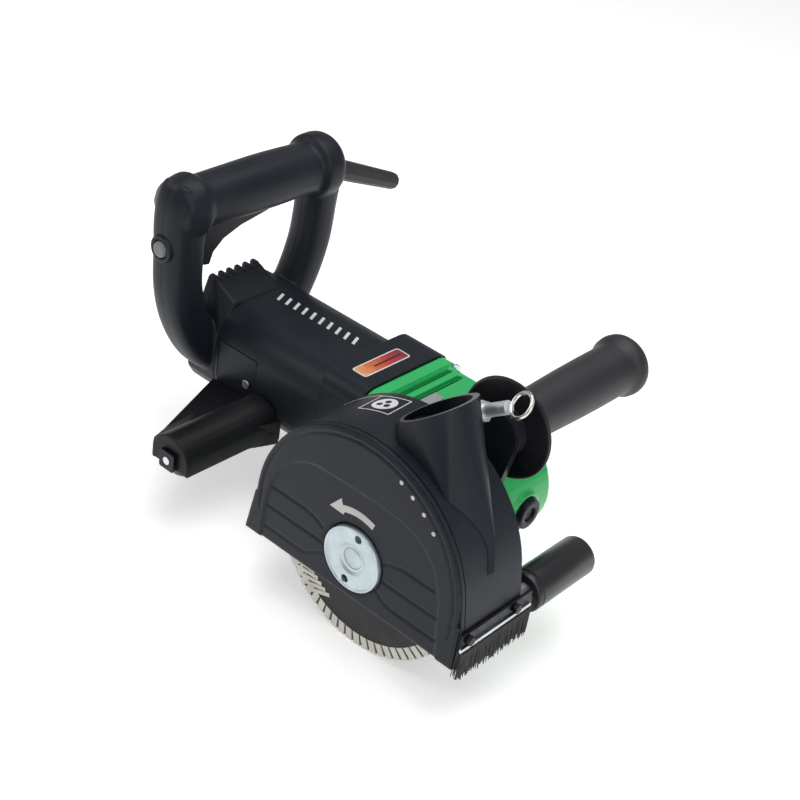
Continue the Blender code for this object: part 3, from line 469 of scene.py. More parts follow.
# Gear head: a die-cast aluminium case, powder coated in bright green, with a flange against the
# motor collar, two long pockets across its top and a bright plate behind the hood.
green = plastic("green_powder_coat", (0.014, 0.49, 0.12), 0.3, 0.01, bump=0.2, depth=0.00015, coat=0.2)
# The near-black slabs laid on the floors of the two pockets are painted shade: they stand for the shade
# inside the slots.
slots = joined([laid_on_top(rounded_rectangle(-2.2, -29.6, 2.2, 29.6, 2.1), x, 59.5, 42.6, 0.9)
                for x in (-62.5, -53)])
slot_shade_paint = plastic("slot_shade_paint", (0.002, 0.006, 0.003), 0.8, specular=0.05)
shown("slot_painted_shade", slots, slot_shade_paint, "machine")
shown("gear_case", cast_skin(["gear_housing"], 1.0, 3, 0.4), green, "machine",
      ["gear_housing"])
for side in ("near", "far"):
    shown("gear_case_screw_" + side, broken_edges(["gear_housing_screw_" + side], 0.4), zinc, "machine",
          ["gear_housing_screw_" + side])
plate_steel = metal("rating_plate", (0.55, 0.55, 0.56), 0.35, (60, 900, 60))
shown("bright_plate", laid_on_top(rounded_rectangle(-4.2, -11, 4.2, 11, 1), -45.6, 46, 46.9, 0.6),
      plate_steel, "machine")


# Carrier plate: a dark moulded arm screwed to the gear head. Its neck is the bearing that the hood
# swings on, and its upper end holds the side handle.
dark_nylon = plastic("dark_nylon", (0.0068, 0.0082, 0.0120), 0.34, 0.04, specular=0.25)
shown("carrier_arm", broken_edges(["carrier_plate"], 0.6), dark_nylon, "machine",
      ["carrier_plate"])
for name in ("carrier_screw_1", "carrier_screw_2"):
    dress(NODES[name], zinc)


# Spindle lock: a black push button with a dished face, sliding in the nose of the gear head.
def lathe(profile, axis, centre, sides=64):
    """A closed ring or plug turned from (place along the axis, radius) points in mm."""
    points = []
    faces = []
    count = len(profile)
    for i in range(sides):
        angle = 2 * pi * i / sides
        for along, radius in profile:
            a, b = radius * cos(angle), radius * sin(angle)
            spot = {"X": (along, a, b), "Y": (b, along, a), "Z": (a, b, along)}[axis]
            points.append(tuple(c + s for c, s in zip(centre, spot)))
    for i in range(sides):
        j = (i + 1) % sides
        for k in range(count):
            m = (k + 1) % count
            faces.append((i * count + k, i * count + m, j * count + m, j * count + k))
    work = bmesh.new()
    rows = [work.verts.new(at(*point)) for point in points]
    for face in faces:
        work.faces.new([rows[i] for i in face])
    bmesh.ops.remove_doubles(work, verts=work.verts, dist=1e-7)
    bmesh.ops.dissolve_degenerate(work, edges=work.edges, dist=1e-7)
    bmesh.ops.recalc_face_normals(work, faces=work.faces)
    mesh = bpy.data.meshes.new("lathe")
    work.to_mesh(mesh)
    work.free()
    return mesh


def smooth_turned(mesh, angle=32):
    mesh.shade_smooth()
    mesh.set_sharp_from_angle(angle=radians(angle))
    return mesh


button = [(29, 0), (29, 5), (36.7, 5), (36.7, 10.6), (37.2, 11), (41.6, 11), (42.5, 10.7), (43, 9.8),
          (42.9, 6.2), (42.4, 5.4), (41.2, 5), (41, 0)]
shown("lock_plunger", smooth_turned(lathe(button, "X", (0, 57, 0), 48)), dark_nylon, "spindle_lock",
      ["spindle_lock_button"])


# Diamond blades: a ground steel core, coloured near black as painted shade for the hood's shadow on it, with
# a sintered rim of slanted segments.
# The slots between the segments let the dust out.
def new_tree(name, sockets):
    """An empty Geometry Nodes tree with named inputs; returns it with its ends."""
    tree = bpy.data.node_groups.new(name, "GeometryNodeTree")
    tree.interface.new_socket(name="Geometry", in_out="OUTPUT", socket_type="NodeSocketGeometry")
    for label, kind in sockets:
        tree.interface.new_socket(name=label, in_out="INPUT", socket_type=kind)
    return tree, node(tree, "NodeGroupInput"), node(tree, "NodeGroupOutput")


def finish_tree(tree, instances, leaving, material_socket):
    real = node(tree, "GeometryNodeRealizeInstances")
    link(tree, instances, real.inputs["Geometry"])
    paint = node(tree, "GeometryNodeSetMaterial")
    link(tree, real.outputs["Geometry"], paint.inputs["Geometry"])
    link(tree, material_socket, paint.inputs["Material"])
    link(tree, paint.outputs["Geometry"], leaving.inputs["Geometry"])


def grown(tree, values):
    """Run a Geometry Nodes tree with these values on an empty mesh and keep its result."""
    item = bpy.data.objects.new("grown", bpy.data.meshes.new("grown"))
    bpy.context.scene.collection.objects.link(item)
    step = item.modifiers.new("grow", "NODES")
    step.node_group = tree
    for socket in tree.interface.items_tree:
        if socket.in_out == "INPUT":
            step[socket.identifier] = values[socket.name]
    return applied(item)


def g_math(tree, operation, a, b):
    made = node(tree, "ShaderNodeMath", operation=operation)
    for socket, value in zip(made.inputs, (a, b)):
        if isinstance(value, (int, float)):
            socket.default_value = value
        else:
            link(tree, value, socket)
    return made.outputs[0]


rim_tree, entry, leaving = new_tree("blade_segments", (
    ("Count", "NodeSocketInt"), ("Middle Radius", "NodeSocketFloat"), ("Segment Size", "NodeSocketVector"),
    ("Slant", "NodeSocketFloat"), ("Centre", "NodeSocketVector"), ("Finish", "NodeSocketMaterial")))
ring = node(rim_tree, "GeometryNodeMeshCircle")
link(rim_tree, entry.outputs["Count"], ring.inputs["Vertices"])
link(rim_tree, entry.outputs["Middle Radius"], ring.inputs["Radius"])
segment = node(rim_tree, "GeometryNodeMeshCube")
link(rim_tree, entry.outputs["Segment Size"], segment.inputs["Size"])
spot = node(rim_tree, "GeometryNodeInputPosition")
spot_parts = node(rim_tree, "ShaderNodeSeparateXYZ")
link(rim_tree, spot.outputs[0], spot_parts.inputs[0])
lean = node(rim_tree, "ShaderNodeCombineXYZ")
link(rim_tree, g_math(rim_tree, "MULTIPLY", spot_parts.outputs["X"], entry.outputs["Slant"]),
     lean.inputs["Y"])
sheared = node(rim_tree, "GeometryNodeSetPosition")
link(rim_tree, segment.outputs["Mesh"], sheared.inputs["Geometry"])
link(rim_tree, lean.outputs[0], sheared.inputs["Offset"])
place_segments = node(rim_tree, "GeometryNodeInstanceOnPoints")
link(rim_tree, ring.outputs["Mesh"], place_segments.inputs["Points"])
link(rim_tree, sheared.outputs["Geometry"], place_segments.inputs["Instance"])
around = g_math(rim_tree, "DIVIDE", node(rim_tree, "GeometryNodeInputIndex").outputs[0],
                entry.outputs["Count"])
spin = node(rim_tree, "ShaderNodeCombineXYZ")
link(rim_tree, g_math(rim_tree, "MULTIPLY", around, 2 * pi), spin.inputs["Z"])
link(rim_tree, spin.outputs[0], place_segments.inputs["Rotation"])
laid = node(rim_tree, "GeometryNodeTransform")
laid.inputs["Rotation"].default_value = (pi / 2, 0, 0)
link(rim_tree, place_segments.outputs["Instances"], laid.inputs["Geometry"])
link(rim_tree, entry.outputs["Centre"], laid.inputs["Translation"])
finish_tree(rim_tree, laid.outputs["Geometry"], leaving, entry.outputs["Finish"])

# The core's colour is darkened well below that of ground steel: painted shade for the hood's shadow that
# falls on the blades.
shade_dark_core_steel = metal("blade_core_painted_shade", (0.05, 0.05, 0.052), 0.34, (500, 30, 500), 0.15)
diamond = finish_from(streaked, "diamond_rim",
                      {"Colour": (0.66, 0.64, 0.58, 1), "Shine": 0.5, "Stretch": (120, 120, 120)},
                      metallic=0.35, bump=0.7, depth=0.0003)
for name, middle, body_slot in (("blade_near", -55.6, "blade_steel"), ("blade_far", -22.0, "blade_steel")):
    core = [(middle - 0.8, 7.3), (middle - 0.8, 66.6), (middle + 0.8, 66.6), (middle + 0.8, 7.3)]
    web = [(middle - 0.95, 65.8), (middle - 0.95, 73.6), (middle + 0.95, 73.6), (middle + 0.95, 65.8)]
    shown(name + "_core", smooth_turned(lathe(core, "Y", (0, 0, 0), 120)), shade_dark_core_steel, "spindle",
          [name])
    shown(name + "_web", smooth_turned(lathe(web, "Y", (0, 0, 0), 120)),
          metal(name + "_web_steel", (0.12, 0.115, 0.11), 0.5, (80, 80, 80)), "spindle")
    rim = grown(rim_tree, {"Count": 66, "Middle Radius": 0.0705, "Segment Size": (0.0086, 0.0049, 0.0024),
                           "Slant": 0.22, "Centre": at(0, middle, 0), "Finish": diamond})
    shown(name + "_segments", rim, diamond, "spindle")
    bars = []
    for index in range(15):
        angle = radians(215 + 120 * (index // 5) + 4.5 * (index % 5))
        along = Vector((cos(angle - 0.6), 0, sin(angle - 0.6)))
        side = Vector((-along.z, 0, along.x)) * 1.45
        outer = Vector((cos(angle), 0, sin(angle))) * 74.2
        points = [outer - along * reach + side * way + Vector((0, middle + out, 0))
                  for reach in (0, 22) for way in (-1, 1) for out in (-1.15, 1.15)]
        bars.append(solid(points, BOX_FACES))
    shown(name + "_undercut_bars", joined(bars), diamond, "spindle")


# Flange nut: zinc plated, with a raised rim, a dished middle round the spindle's end and two
# holes for a pin spanner.
def drilled(mesh, cutters):
    """A mesh with these other meshes cut out of it."""
    item = bpy.data.objects.new("drilled", mesh)
    bpy.context.scene.collection.objects.link(item)
    tools = []
    for cutter in cutters:
        tool = bpy.data.objects.new("tool", cutter)
        bpy.context.scene.collection.objects.link(tool)
        cut = item.modifiers.new("hole", "BOOLEAN")
        cut.operation = "DIFFERENCE"
        cut.solver = "EXACT"
        cut.object = tool
        tools.append(tool)
    done = applied(item)
    for tool in tools:
        bpy.data.objects.remove(tool)
    return done


nut_profile = [(-56.9, 7.4), (-56.9, 17), (-67, 17), (-67, 22.2), (-67.5, 22.7), (-70.7, 22.7),
               (-71.3, 22.3),
               (-71.5, 21.7), (-71.5, 21.2), (-71.3, 20.9), (-70.9, 20.7), (-70.8, 20.2), (-70.8, 11.8),
               (-70.6, 11.1), (-69.7, 9.9), (-69.3, 8.9), (-69.2, 7.4), (-56.9, 7.4)]
pin_holes = [lathe([(-74, 0), (-74, 6), (-70.4, 2.7), (-67, 2.7), (-67, 0)], "Y",
                   (17.3 * cos(radians(angle)), 0, 17.3 * sin(radians(angle))), 28) for angle in (80, 260)]
plated = metal("plated_nut", (0.55, 0.63, 0.66), 0.36, (30, 30, 30), 0.15)
shown("spanner_nut", smooth_turned(drilled(lathe(nut_profile, "Y", (0, 0, 0), 96), pin_holes), 35), plated,
      "spindle", ["flange_nut"])
spindle_end = [(-69.5, 0), (-69.5, 6.6), (-69.1, 7.2), (-68, 7.2), (-68, 0)]
shown("spindle_end", smooth_turned(lathe(spindle_end, "Y", (0, 0, 0), 48), 35), plated, "spindle")


# Hood shell: a deep moulded nylon guard round both blades, open at the foot, swinging on the
# carrier's neck.
shown("guard_shell", broken_edges(["hood_shell"], 0.8), nylon, "hood", ["hood_shell"])
shown("guard_cover", broken_edges(["hood_cover"], 0.7), nylon, "hood", ["hood_cover"])


# Hood cover's relief: a smooth band round the arc and a lowered field with three grooves on each
# side of the nut, moulded in one with the cover. It is laid out on a fine net.
def to_line(x, z, line):
    """Distance in mm from a point to a broken line of (x, z) points."""
    best = 1e9
    for (x0, z0), (x1, z1) in zip(line, line[1:]):
        dx, dz = x1 - x0, z1 - z0
        t = max(0.0, min(1.0, ((x - x0) * dx + (z - z0) * dz) / (dx * dx + dz * dz)))
        best = min(best, hypot(x - x0 - t * dx, z - z0 - t * dz))
    return best


def eased(value, low, high):
    t = max(0.0, min(1.0, (value - low) / (high - low)))
    return t * t * (3 - 2 * t)


FIELD_EDGE = [(-78, -31), (-77, -15), (-76, 1), (-73, 17), (-67, 29), (-57, 41), (-47, 47), (-37, 49.4),
              (-17, 50), (15, 50), (31, 49.2), (43, 46), (53, 40), (61, 31), (66, 21), (69, 9), (71, -11),
              (73.4, -31)]
GROOVES = [[(-72, 12.5), (-45, 12.5), (-36, 11.5), (-27, 7.5)], [(-75, -3.5), (-26, -3.5)],
           [(-76, -20), (-40, -20), (-24, -10)], [(64, 15.5), (38, 15.5), (28, 13), (20, 8)],
           [(68, -2.3), (24, -2.3)], [(70, -18.5), (36, -18.5), (27, -16.5), (20, -11)]]


def in_field(x, z):
    """How far inside the lowered field's edge a point is, in mm; less than 0 outside."""
    inside = False
    for (x0, z0), (x1, z1) in zip(FIELD_EDGE, FIELD_EDGE[1:] + FIELD_EDGE[:1]):
        if (z0 > z) != (z1 > z) and x < (x1 - x0) * (z - z0) / (z1 - z0) + x0:
            inside = not inside
    away = to_line(x, z, FIELD_EDGE)
    return away if inside else -away


def in_cover(x, z):
    """How far inside the cover's outline and outside the nut's hole a point is, in mm."""
    rear = (x + 92.0) * 0.985 - (z + 31) * 0.17
    arc = 84.6 - hypot(x + 0.2, z - 2.9) if z > 2.9 else 86.3 - x
    return min(arc, rear, z + 30.4, hypot(x, z) - 24.2)


def cover_height(x, z):
    """How far the relief stands out of the cover's face, in mm."""
    step = eased(in_field(x, z), -0.5, 1.1)
    height = 2.2 - 1.2 * step
    for line in GROOVES:
        height -= 0.85 * step * (1 - eased(to_line(x, z, line), 0.4, 1.4))
    edge = in_cover(x, z)
    rim = hypot(x + 0.2, z - 2.9)
    if z > -10:
        height -= 0.9 * (1 - eased(abs(rim - 80.6), 0.3, 1.2)) * eased(-in_field(x, z), 2, 5)
    return height - 0.7 * (1 - eased(edge, 0.0, 1.6))


def relief_sheet(step=1.0):
    columns, rows = int(184 / step), int(122 / step)
    work = bmesh.new()
    front, back = {}, {}
    for i in range(columns):
        for j in range(rows):
            x, z = -94 + i * step, -33 + j * step
            depth = in_cover(x, z)
            if depth < -step * 1.05:
                continue
            for _ in range(3):
                depth = in_cover(x, z)
                if depth < 0:
                    slope_x = (in_cover(x + 0.05, z) - in_cover(x - 0.05, z)) * 10
                    slope_z = (in_cover(x, z + 0.05) - in_cover(x, z - 0.05)) * 10
                    size = max(0.3, slope_x ** 2 + slope_z ** 2)
                    x, z = x - depth * slope_x / size, z - depth * slope_z / size
            front[i, j] = work.verts.new(at(x, -68.02 - cover_height(x, z), z))
            back[i, j] = work.verts.new(at(x, -67.0, z))
    for i in range(columns - 1):
        for j in range(rows - 1):
            ring_of = [(i, j), (i + 1, j), (i + 1, j + 1), (i, j + 1)]
            if all(key in front for key in ring_of):
                work.faces.new([front[key] for key in ring_of])
                work.faces.new([back[key] for key in reversed(ring_of)])
    loose = [edge for edge in work.edges if len(edge.link_faces) == 1]
    twins = {front[key]: back[key] for key in front}
    for edge in loose:
        if edge.verts[0] in twins and edge.verts[1] in twins:
            a, b = edge.verts
            work.faces.new((a, b, twins[b], twins[a]))
    for vert in [v for v in work.verts if not v.link_faces]:
        work.verts.remove(vert)
    bmesh.ops.recalc_face_normals(work, faces=work.faces)
    mesh = bpy.data.meshes.new("relief")
    work.to_mesh(mesh)
    work.free()
    return smooth_turned(mesh, 60)


shown("cover_relief", relief_sheet(1.0), nylon, "hood")


# Printed marks on the cover: an arrow for the blades' turning direction above the nut and four
# dots for the depth steps near the arc, in light grey pad print.
def arc_points(radius, start, end, steps):
    angles = [radians(start + (end - start) * i / steps) for i in range(steps + 1)]
    return [(radius * cos(a), radius * sin(a)) for a in angles]


arrow_head = [(-15.6, 37.2), (-24.0, 27.2), (-12.4, 26.6)]
arrow = arc_points(35.9, 69, 113, 12) + arrow_head + arc_points(31.2, 112, 69, 12)
light_print = plastic("grey_print", (0.55, 0.54, 0.53), 0.4, 0.3)
shown("turning_arrow", slab_on(arrow, (0, -68.85, 0), (1, 0, 0), (0, 0, 1), 0.35), light_print, "hood")
dots = []
for x, z in ((27.5, 74.6), (37.3, 69.4), (47.2, 63), (56.2, 54.6)):
    crown = [(-70.6 + 0.35 * (1 - cos(a)), 1.5 * sin(a)) for a in (0, 0.5, 1.0, pi / 2)]
    dots.append(lathe(crown + [(-68.6, 1.5), (-68.6, 0)], "Y", (x, 0, z), 16))
shown("depth_dots", smooth_turned(joined(dots), 50), light_print, "hood")


# Dust tower: a hollow moulded spout on the hood's shoulder that takes the hose's cuff, with its
# flat-sided foot running down the hood's front.
shown("dust_spout", broken_edges(["dust_tower"], 1.1, 3), nylon, "hood", ["dust_tower"])


# Mark on the hood's top: a pad-printed diamond frame on the arc with a plain white disc and three
# dark spots in it, and a thin line that runs from it to the rear.
def on_arc(spots, radius, thick):
    """A thin plate that follows the hood's arc: outline points (around, along) in mm from its middle."""
    ring = []
    for high in (radius, radius + thick):
        for around, along in spots:
            angle = radians(107.5) + around / 85.3
            ring.append((-0.2 + high * cos(angle), -27.7 + along, 2.9 + high * sin(angle)))
    count = len(spots)
    faces = [tuple(range(count)), tuple(range(count, 2 * count))]
    faces += [(i, (i + 1) % count, (i + 1) % count + count, i + count) for i in range(count)]
    return solid(ring, faces)


def ring_on_arc(outer, inner, radius, thick, steps=8):
    """A frame line on the arc, as short plates between an outer and an inner outline."""
    plates = []
    for i in range(len(outer)):
        j = (i + 1) % len(outer)
        sides = [(Vector(line[i]), Vector(line[j])) for line in (outer, inner)]
        for k in range(steps):
            spots = [a.lerp(b, t / steps) for (a, b), t in zip((sides[0], sides[0], sides[1], sides[1]),
                                                                (k, k + 1, k + 1, k))]
            plates.append(on_arc(spots, radius, thick))
    return joined(plates)


disc = arc_points(8.3, 0, 350, 35)
shown("top_mark_disc", on_arc(disc, 85.4, 0.12), white_print, "hood")
spots = []
for angle in (90, 210, 330):
    a, b = 3.4 * cos(radians(angle)), 3.4 * sin(radians(angle))
    spots.append(on_arc([(a + x, b + y) for x, y in arc_points(2.1, 0, 337.5, 15)], 85.5, 0.06))
shown("top_mark_spots", joined(spots), nylon, "hood")
outer = [(11.6, -12.4), (-12.6, -11.0), (-11.6, 12.4), (12.6, 11.0)]
inner = [(a * 0.94, b * 0.94) for a, b in outer]
shown("top_mark_frame", ring_on_arc(outer, inner, 85.36, 0.1), white_print, "hood")
strokes = []
for i in range(8):
    (a0, b0), (a1, b1) = ((12.6 + 31.4 * k / 8, 11.0 - 5.0 * k / 8) for k in (i, i + 1))
    strokes.append(on_arc([(a0, b0), (a1, b1), (a1, b1 + 0.8), (a0, b0 + 0.8)], 85.36, 0.1))
shown("top_mark_line", joined(strokes), white_print, "hood")


# Ring bolt: a zinc plated clamp bolt with a hexagon flange, screwed into the tower's foot; its
# wire ring is the handle that turns it.
def wire_loop(centre, a, b, radius, wire, sides=12, steps=48):
    """A ring of wire round a centre in the plane of two unit vectors."""
    centre, a, b = Vector(centre), Vector(a).normalized(), Vector(b).normalized()
    normal = a.cross(b)
    work = bmesh.new()
    rows = []
    for i in range(steps):
        angle = 2 * pi * i / steps
        out = a * cos(angle) + b * sin(angle)
        rows.append([work.verts.new(at(*(centre + out * (radius + wire * cos(t)) + normal * wire * sin(t))))
                     for t in (2 * pi * k / sides for k in range(sides))])
    for i in range(steps):
        for k in range(sides):
            work.faces.new((rows[i][k], rows[(i + 1) % steps][k], rows[(i + 1) % steps][(k + 1) % sides],
                            rows[i][(k + 1) % sides]))
    bmesh.ops.recalc_face_normals(work, faces=work.faces)
    mesh = bpy.data.meshes.new("wire")
    work.to_mesh(mesh)
    work.free()
    mesh.shade_smooth()
    return mesh


bolt_axis = Vector((cos(radians(35)), 0, sin(radians(35))))
foot = Vector((28.0, -2.5, 97.9))
nickel = metal("bright_nickel", (0.80, 0.78, 0.72), 0.14, (40, 40, 40))
plated_bolt = metal("plated_bolt", (0.80, 0.85, 0.87), 0.45, (40, 40, 40))
shown("ring_bolt", broken_edges(["clamp_bolt"], 0.5), plated_bolt, "clamp", ["clamp_bolt"])
tilted = Vector((-bolt_axis.z, 0, bolt_axis.x)) * 0.72 + Vector((0, 0.69, 0))
shown("pull_ring", wire_loop(foot + bolt_axis * 32.5, bolt_axis, tilted, 8.2, 1.25), nickel, "clamp",
      ["clamp_ring"])


# Brush strip: a blackened steel clip with a bright folded lip, held on the hood's front by two
# hexagon bolts, with dense rows of black nylon bristles that keep the dust in.
black_steel = metal("blackened_steel", (0.035, 0.036, 0.04), 0.34, (60, 60, 60))
shown("strip_clip", broken_edges(["brush_strip_holder"], 0.4), black_steel, "hood",
      ["brush_strip_holder"])
lip = slab_on(rounded_rectangle(-69.5, -14.6, -0.6, -11.8, 0.6), (89.4, 0, 0), (0, 1, 0), (0, 0, 1), 1.4)
shown("strip_lip", lip, zinc, "hood")
for name in ("strip_bolt_1", "strip_bolt_2"):
    shown(name + "_head", broken_edges([name], 0.4), black_steel, "hood", [name])
bristle_tree, entry, leaving = new_tree("bristle_rows", (
    ("Width", "NodeSocketFloat"), ("Length", "NodeSocketFloat"), ("Rows", "NodeSocketInt"),
    ("Per Row", "NodeSocketInt"), ("Bristle Length", "NodeSocketFloat"), ("Spread", "NodeSocketFloat"),
    ("Centre", "NodeSocketVector"), ("Finish", "NodeSocketMaterial")))
bed = node(bristle_tree, "GeometryNodeMeshGrid")
link(bristle_tree, entry.outputs["Width"], bed.inputs["Size X"])
link(bristle_tree, entry.outputs["Length"], bed.inputs["Size Y"])
link(bristle_tree, entry.outputs["Rows"], bed.inputs["Vertices X"])
link(bristle_tree, entry.outputs["Per Row"], bed.inputs["Vertices Y"])
hair = node(bristle_tree, "GeometryNodeMeshCone")
hair.inputs["Vertices"].default_value = 4
hair.inputs["Radius Top"].default_value = 0.0006
hair.inputs["Radius Bottom"].default_value = 0.0003
link(bristle_tree, entry.outputs["Bristle Length"], hair.inputs["Depth"])
hung = node(bristle_tree, "GeometryNodeTransform")
hung_by = node(bristle_tree, "ShaderNodeCombineXYZ")
link(bristle_tree, g_math(bristle_tree, "MULTIPLY", entry.outputs["Bristle Length"], -1.0),
     hung_by.inputs["Z"])
link(bristle_tree, hair.outputs["Mesh"], hung.inputs["Geometry"])
link(bristle_tree, hung_by.outputs[0], hung.inputs["Translation"])
splay = node(bristle_tree, "FunctionNodeRandomValue", data_type="FLOAT_VECTOR")
splay.inputs["Seed"].default_value = 5
wide = node(bristle_tree, "ShaderNodeVectorMath", operation="SCALE")
wide.inputs[0].default_value = (1, 1, 1)
link(bristle_tree, entry.outputs["Spread"], wide.inputs["Scale"])
narrow = node(bristle_tree, "ShaderNodeVectorMath", operation="SCALE")
narrow.inputs[0].default_value = (-1, -1, -1)
link(bristle_tree, entry.outputs["Spread"], narrow.inputs["Scale"])
link(bristle_tree, narrow.outputs["Vector"], splay.inputs["Min"])
link(bristle_tree, wide.outputs["Vector"], splay.inputs["Max"])
long_or_short = node(bristle_tree, "FunctionNodeRandomValue", data_type="FLOAT")
long_or_short.inputs["Seed"].default_value = 11
long_or_short.inputs[2].default_value = 0.86
long_or_short.inputs[3].default_value = 1.08
planted = node(bristle_tree, "GeometryNodeInstanceOnPoints")
link(bristle_tree, bed.outputs["Mesh"], planted.inputs["Points"])
link(bristle_tree, hung.outputs["Geometry"], planted.inputs["Instance"])
link(bristle_tree, splay.outputs["Value"], planted.inputs["Rotation"])
link(bristle_tree, long_or_short.outputs[1], planted.inputs["Scale"])
moved = node(bristle_tree, "GeometryNodeTransform")
link(bristle_tree, planted.outputs["Instances"], moved.inputs["Geometry"])
link(bristle_tree, entry.outputs["Centre"], moved.inputs["Translation"])
finish_tree(bristle_tree, moved.outputs["Geometry"], leaving, entry.outputs["Finish"])
bristle_nylon = plastic("bristle_nylon", (0.008, 0.008, 0.009), 0.45)
bristles = grown(bristle_tree, {"Width": 0.0036, "Length": 0.068, "Rows": 5, "Per Row": 96,
                                "Bristle Length": 0.0205, "Spread": 0.09, "Centre": at(89.3, -34, -15.2),
                                "Finish": bristle_nylon})
shown("strip_bristles", bristles, bristle_nylon, "hood", ["brush_bristles"])


# Front roller: a hard black tube that turns on a fixed axle on the hood's front foot, with a
# chamfered outer end.
dress(NODES["front_roller_axle"], turned_steel)
tube_profile = [(70, 4.4), (70, 6.2), (69.2, 6.6), (69.2, 10.2), (70, 10.7), (70, 11.8), (68.6, 13.6),
                (67.6, 14), (14.2, 14), (13.4, 13.2), (12.8, 13.2), (12, 14), (9.4, 14), (8.4, 13.4),
                (8, 12.4), (8, 4.4)]
roller_nylon = plastic("roller_nylon", (0.010, 0.011, 0.013), 0.3, 0.15)
shown("front_roll", smooth_turned(lathe(tube_profile, "Y", (78, 0, -17), 72)), roller_nylon, "front_roller",
      ["front_roller"])


# Rear roller and its bracket: a thick moulded arch under the motor's end, with a tapered fin
# towards the motor, an axle with a square black nut, and a smooth roller in it.
# This nylon is coloured darker than the other black mouldings as painted shade: the arch and the fin lie in
# the motor's shadow.
motor_shadow_nylon = plastic("motor_shadow_nylon", (0.0035, 0.0038, 0.0045), 0.42, 0.02, specular=0.2)
shown("rear_arch", cast_skin(["rear_bracket"], 0.9, 4, 0.4), motor_shadow_nylon, "machine",
      ["rear_bracket"])
fin = [(-182, -70, -10), (-160, -70, -2), (-213, 11, -9), (-143, 11, -9), (-182, -70, -14), (-160, -70, -14),
       (-213, 11, -24), (-143, 11, -24)]
shown("rear_fin", solid(fin, BOX_FACES),
      motor_shadow_nylon, "machine")
back_profile = [(6.8, 3.6), (6.8, 13), (6.2, 14.2), (5, 15), (-67.4, 15), (-68.6, 14.2), (-69.2, 13),
                (-69.2, 3.6)]
shown("rear_roll", smooth_turned(lathe(back_profile, "Y", (-163, 0, -16), 72)), roller_nylon, "rear_roller",
      ["rear_roller"])
shown("rear_axle_pin", broken_edges(["rear_axle"], 0.4), zinc, "machine", ["rear_axle"])
shown("rear_square_nut", broken_edges(["rear_axle_nut"], 0.5), black_steel, "machine",
      ["rear_axle_nut"])


# Side handle: a black moulded grip with a flared end, screwed on a stud through a thin round
# guard that keeps the hand off the hood.
dress(NODES["handle_stud"], zinc)
guard = [(25, 5.3), (25, 13.6), (24.8, 15.2), (24.2, 22), (23.2, 31.5), (22.6, 33.4), (21.8, 34),
         (21.0, 33.9), (20.5, 33.2), (20.3, 32), (20.3, 5.3)]
guard_nylon = plastic("guard_nylon", (0.004, 0.004, 0.005), 0.28, bump=0.12)
shown("hand_guard", smooth_turned(lathe(guard, "Y", (33, 0, 79), 96)), guard_nylon, "machine",
      ["side_handle_guard"])
grip = [(61, 0), (61, 5.3), (25.3, 5.3), (25.3, 15.4), (26, 16), (36, 16), (60, 17), (85, 17.8), (110, 18.2),
        (134, 18.2), (137.5, 18.7), (140, 20.2), (142, 21.4), (145.5, 21.8), (148.5, 21.3), (150.8, 19.8),
        (152.3, 17.2), (153, 13), (153, 6.4), (152, 5.6), (152, 0)]
grip_rubber = plastic("grip_moulding", (0.0125, 0.0133, 0.016), 0.44, 0.08, bump=0.6, depth=0.00018)
shown("hand_grip", smooth_turned(lathe(grip, "Y", (33, 0, 79), 96), 40), grip_rubber, "machine",
      ["side_handle_grip"])


# Loop handle: two nylon half shells that make the motor's rear cap, its air slots and the D-shaped
# grip, with soft corners everywhere a hand goes. The halves meet in a fine line round the loop.
def through(points, steps):
    """More points on a smooth line through these rows of numbers (Catmull-Rom)."""
    rows = [Vector(p) for p in points]
    rows = [rows[0] * 2 - rows[1]] + rows + [rows[-1] * 2 - rows[-2]]
    line = []
    for a, b, c, d in zip(rows, rows[1:], rows[2:], rows[3:]):
        for i in range(steps):
            t = i / steps
            line.append(0.5 * (2 * b + (c - a) * t + (2 * a - 5 * b + 4 * c - d) * t * t
                               + (3 * b - a - 3 * c + d) * t ** 3))
    return line + [rows[-2]]


def bar_along(stations, sides=36, squareness=2.3, steps=6):
    """A closed bar in the loop's plane through (y, z, radius) stations, nearly round in section."""
    line = through(stations, steps)
    work = bmesh.new()
    rings = []
    for k, (y, z, radius) in enumerate(line):
        before, after = line[max(k - 1, 0)], line[min(k + 1, len(line) - 1)]
        along = Vector((after[0] - before[0], after[1] - before[1])).normalized()
        out = Vector((-along.y, along.x))
        ring = []
        for i in range(sides):
            a = 2 * pi * i / sides
            reach = radius / (abs(cos(a)) ** squareness + abs(sin(a)) ** squareness) ** (1 / squareness)
            side, rise = reach * cos(a), reach * sin(a)
            ring.append(work.verts.new(at(-232 + side, y + out.x * rise, z + out.y * rise)))
        rings.append(ring)
    for low, high in zip(rings, rings[1:]):
        for i in range(sides):
            work.faces.new((low[i], low[(i + 1) % sides], high[(i + 1) % sides], high[i]))
    work.faces.new(rings[0])
    work.faces.new(rings[-1])
    bmesh.ops.recalc_face_normals(work, faces=work.faces)
    mesh = bpy.data.meshes.new("bar")
    work.to_mesh(mesh)
    work.free()
    return mesh


def block(low, high):
    """A plain cutter box between two corners in mm."""
    (x0, y0, z0), (x1, y1, z1) = low, high
    points = [(x, y, z) for x in (x0, x1) for y in (y0, y1) for z in (z0, z1)]
    item = bpy.data.objects.new("cutter", solid(points, BOX_FACES))
    bpy.context.scene.collection.objects.link(item)
    return item


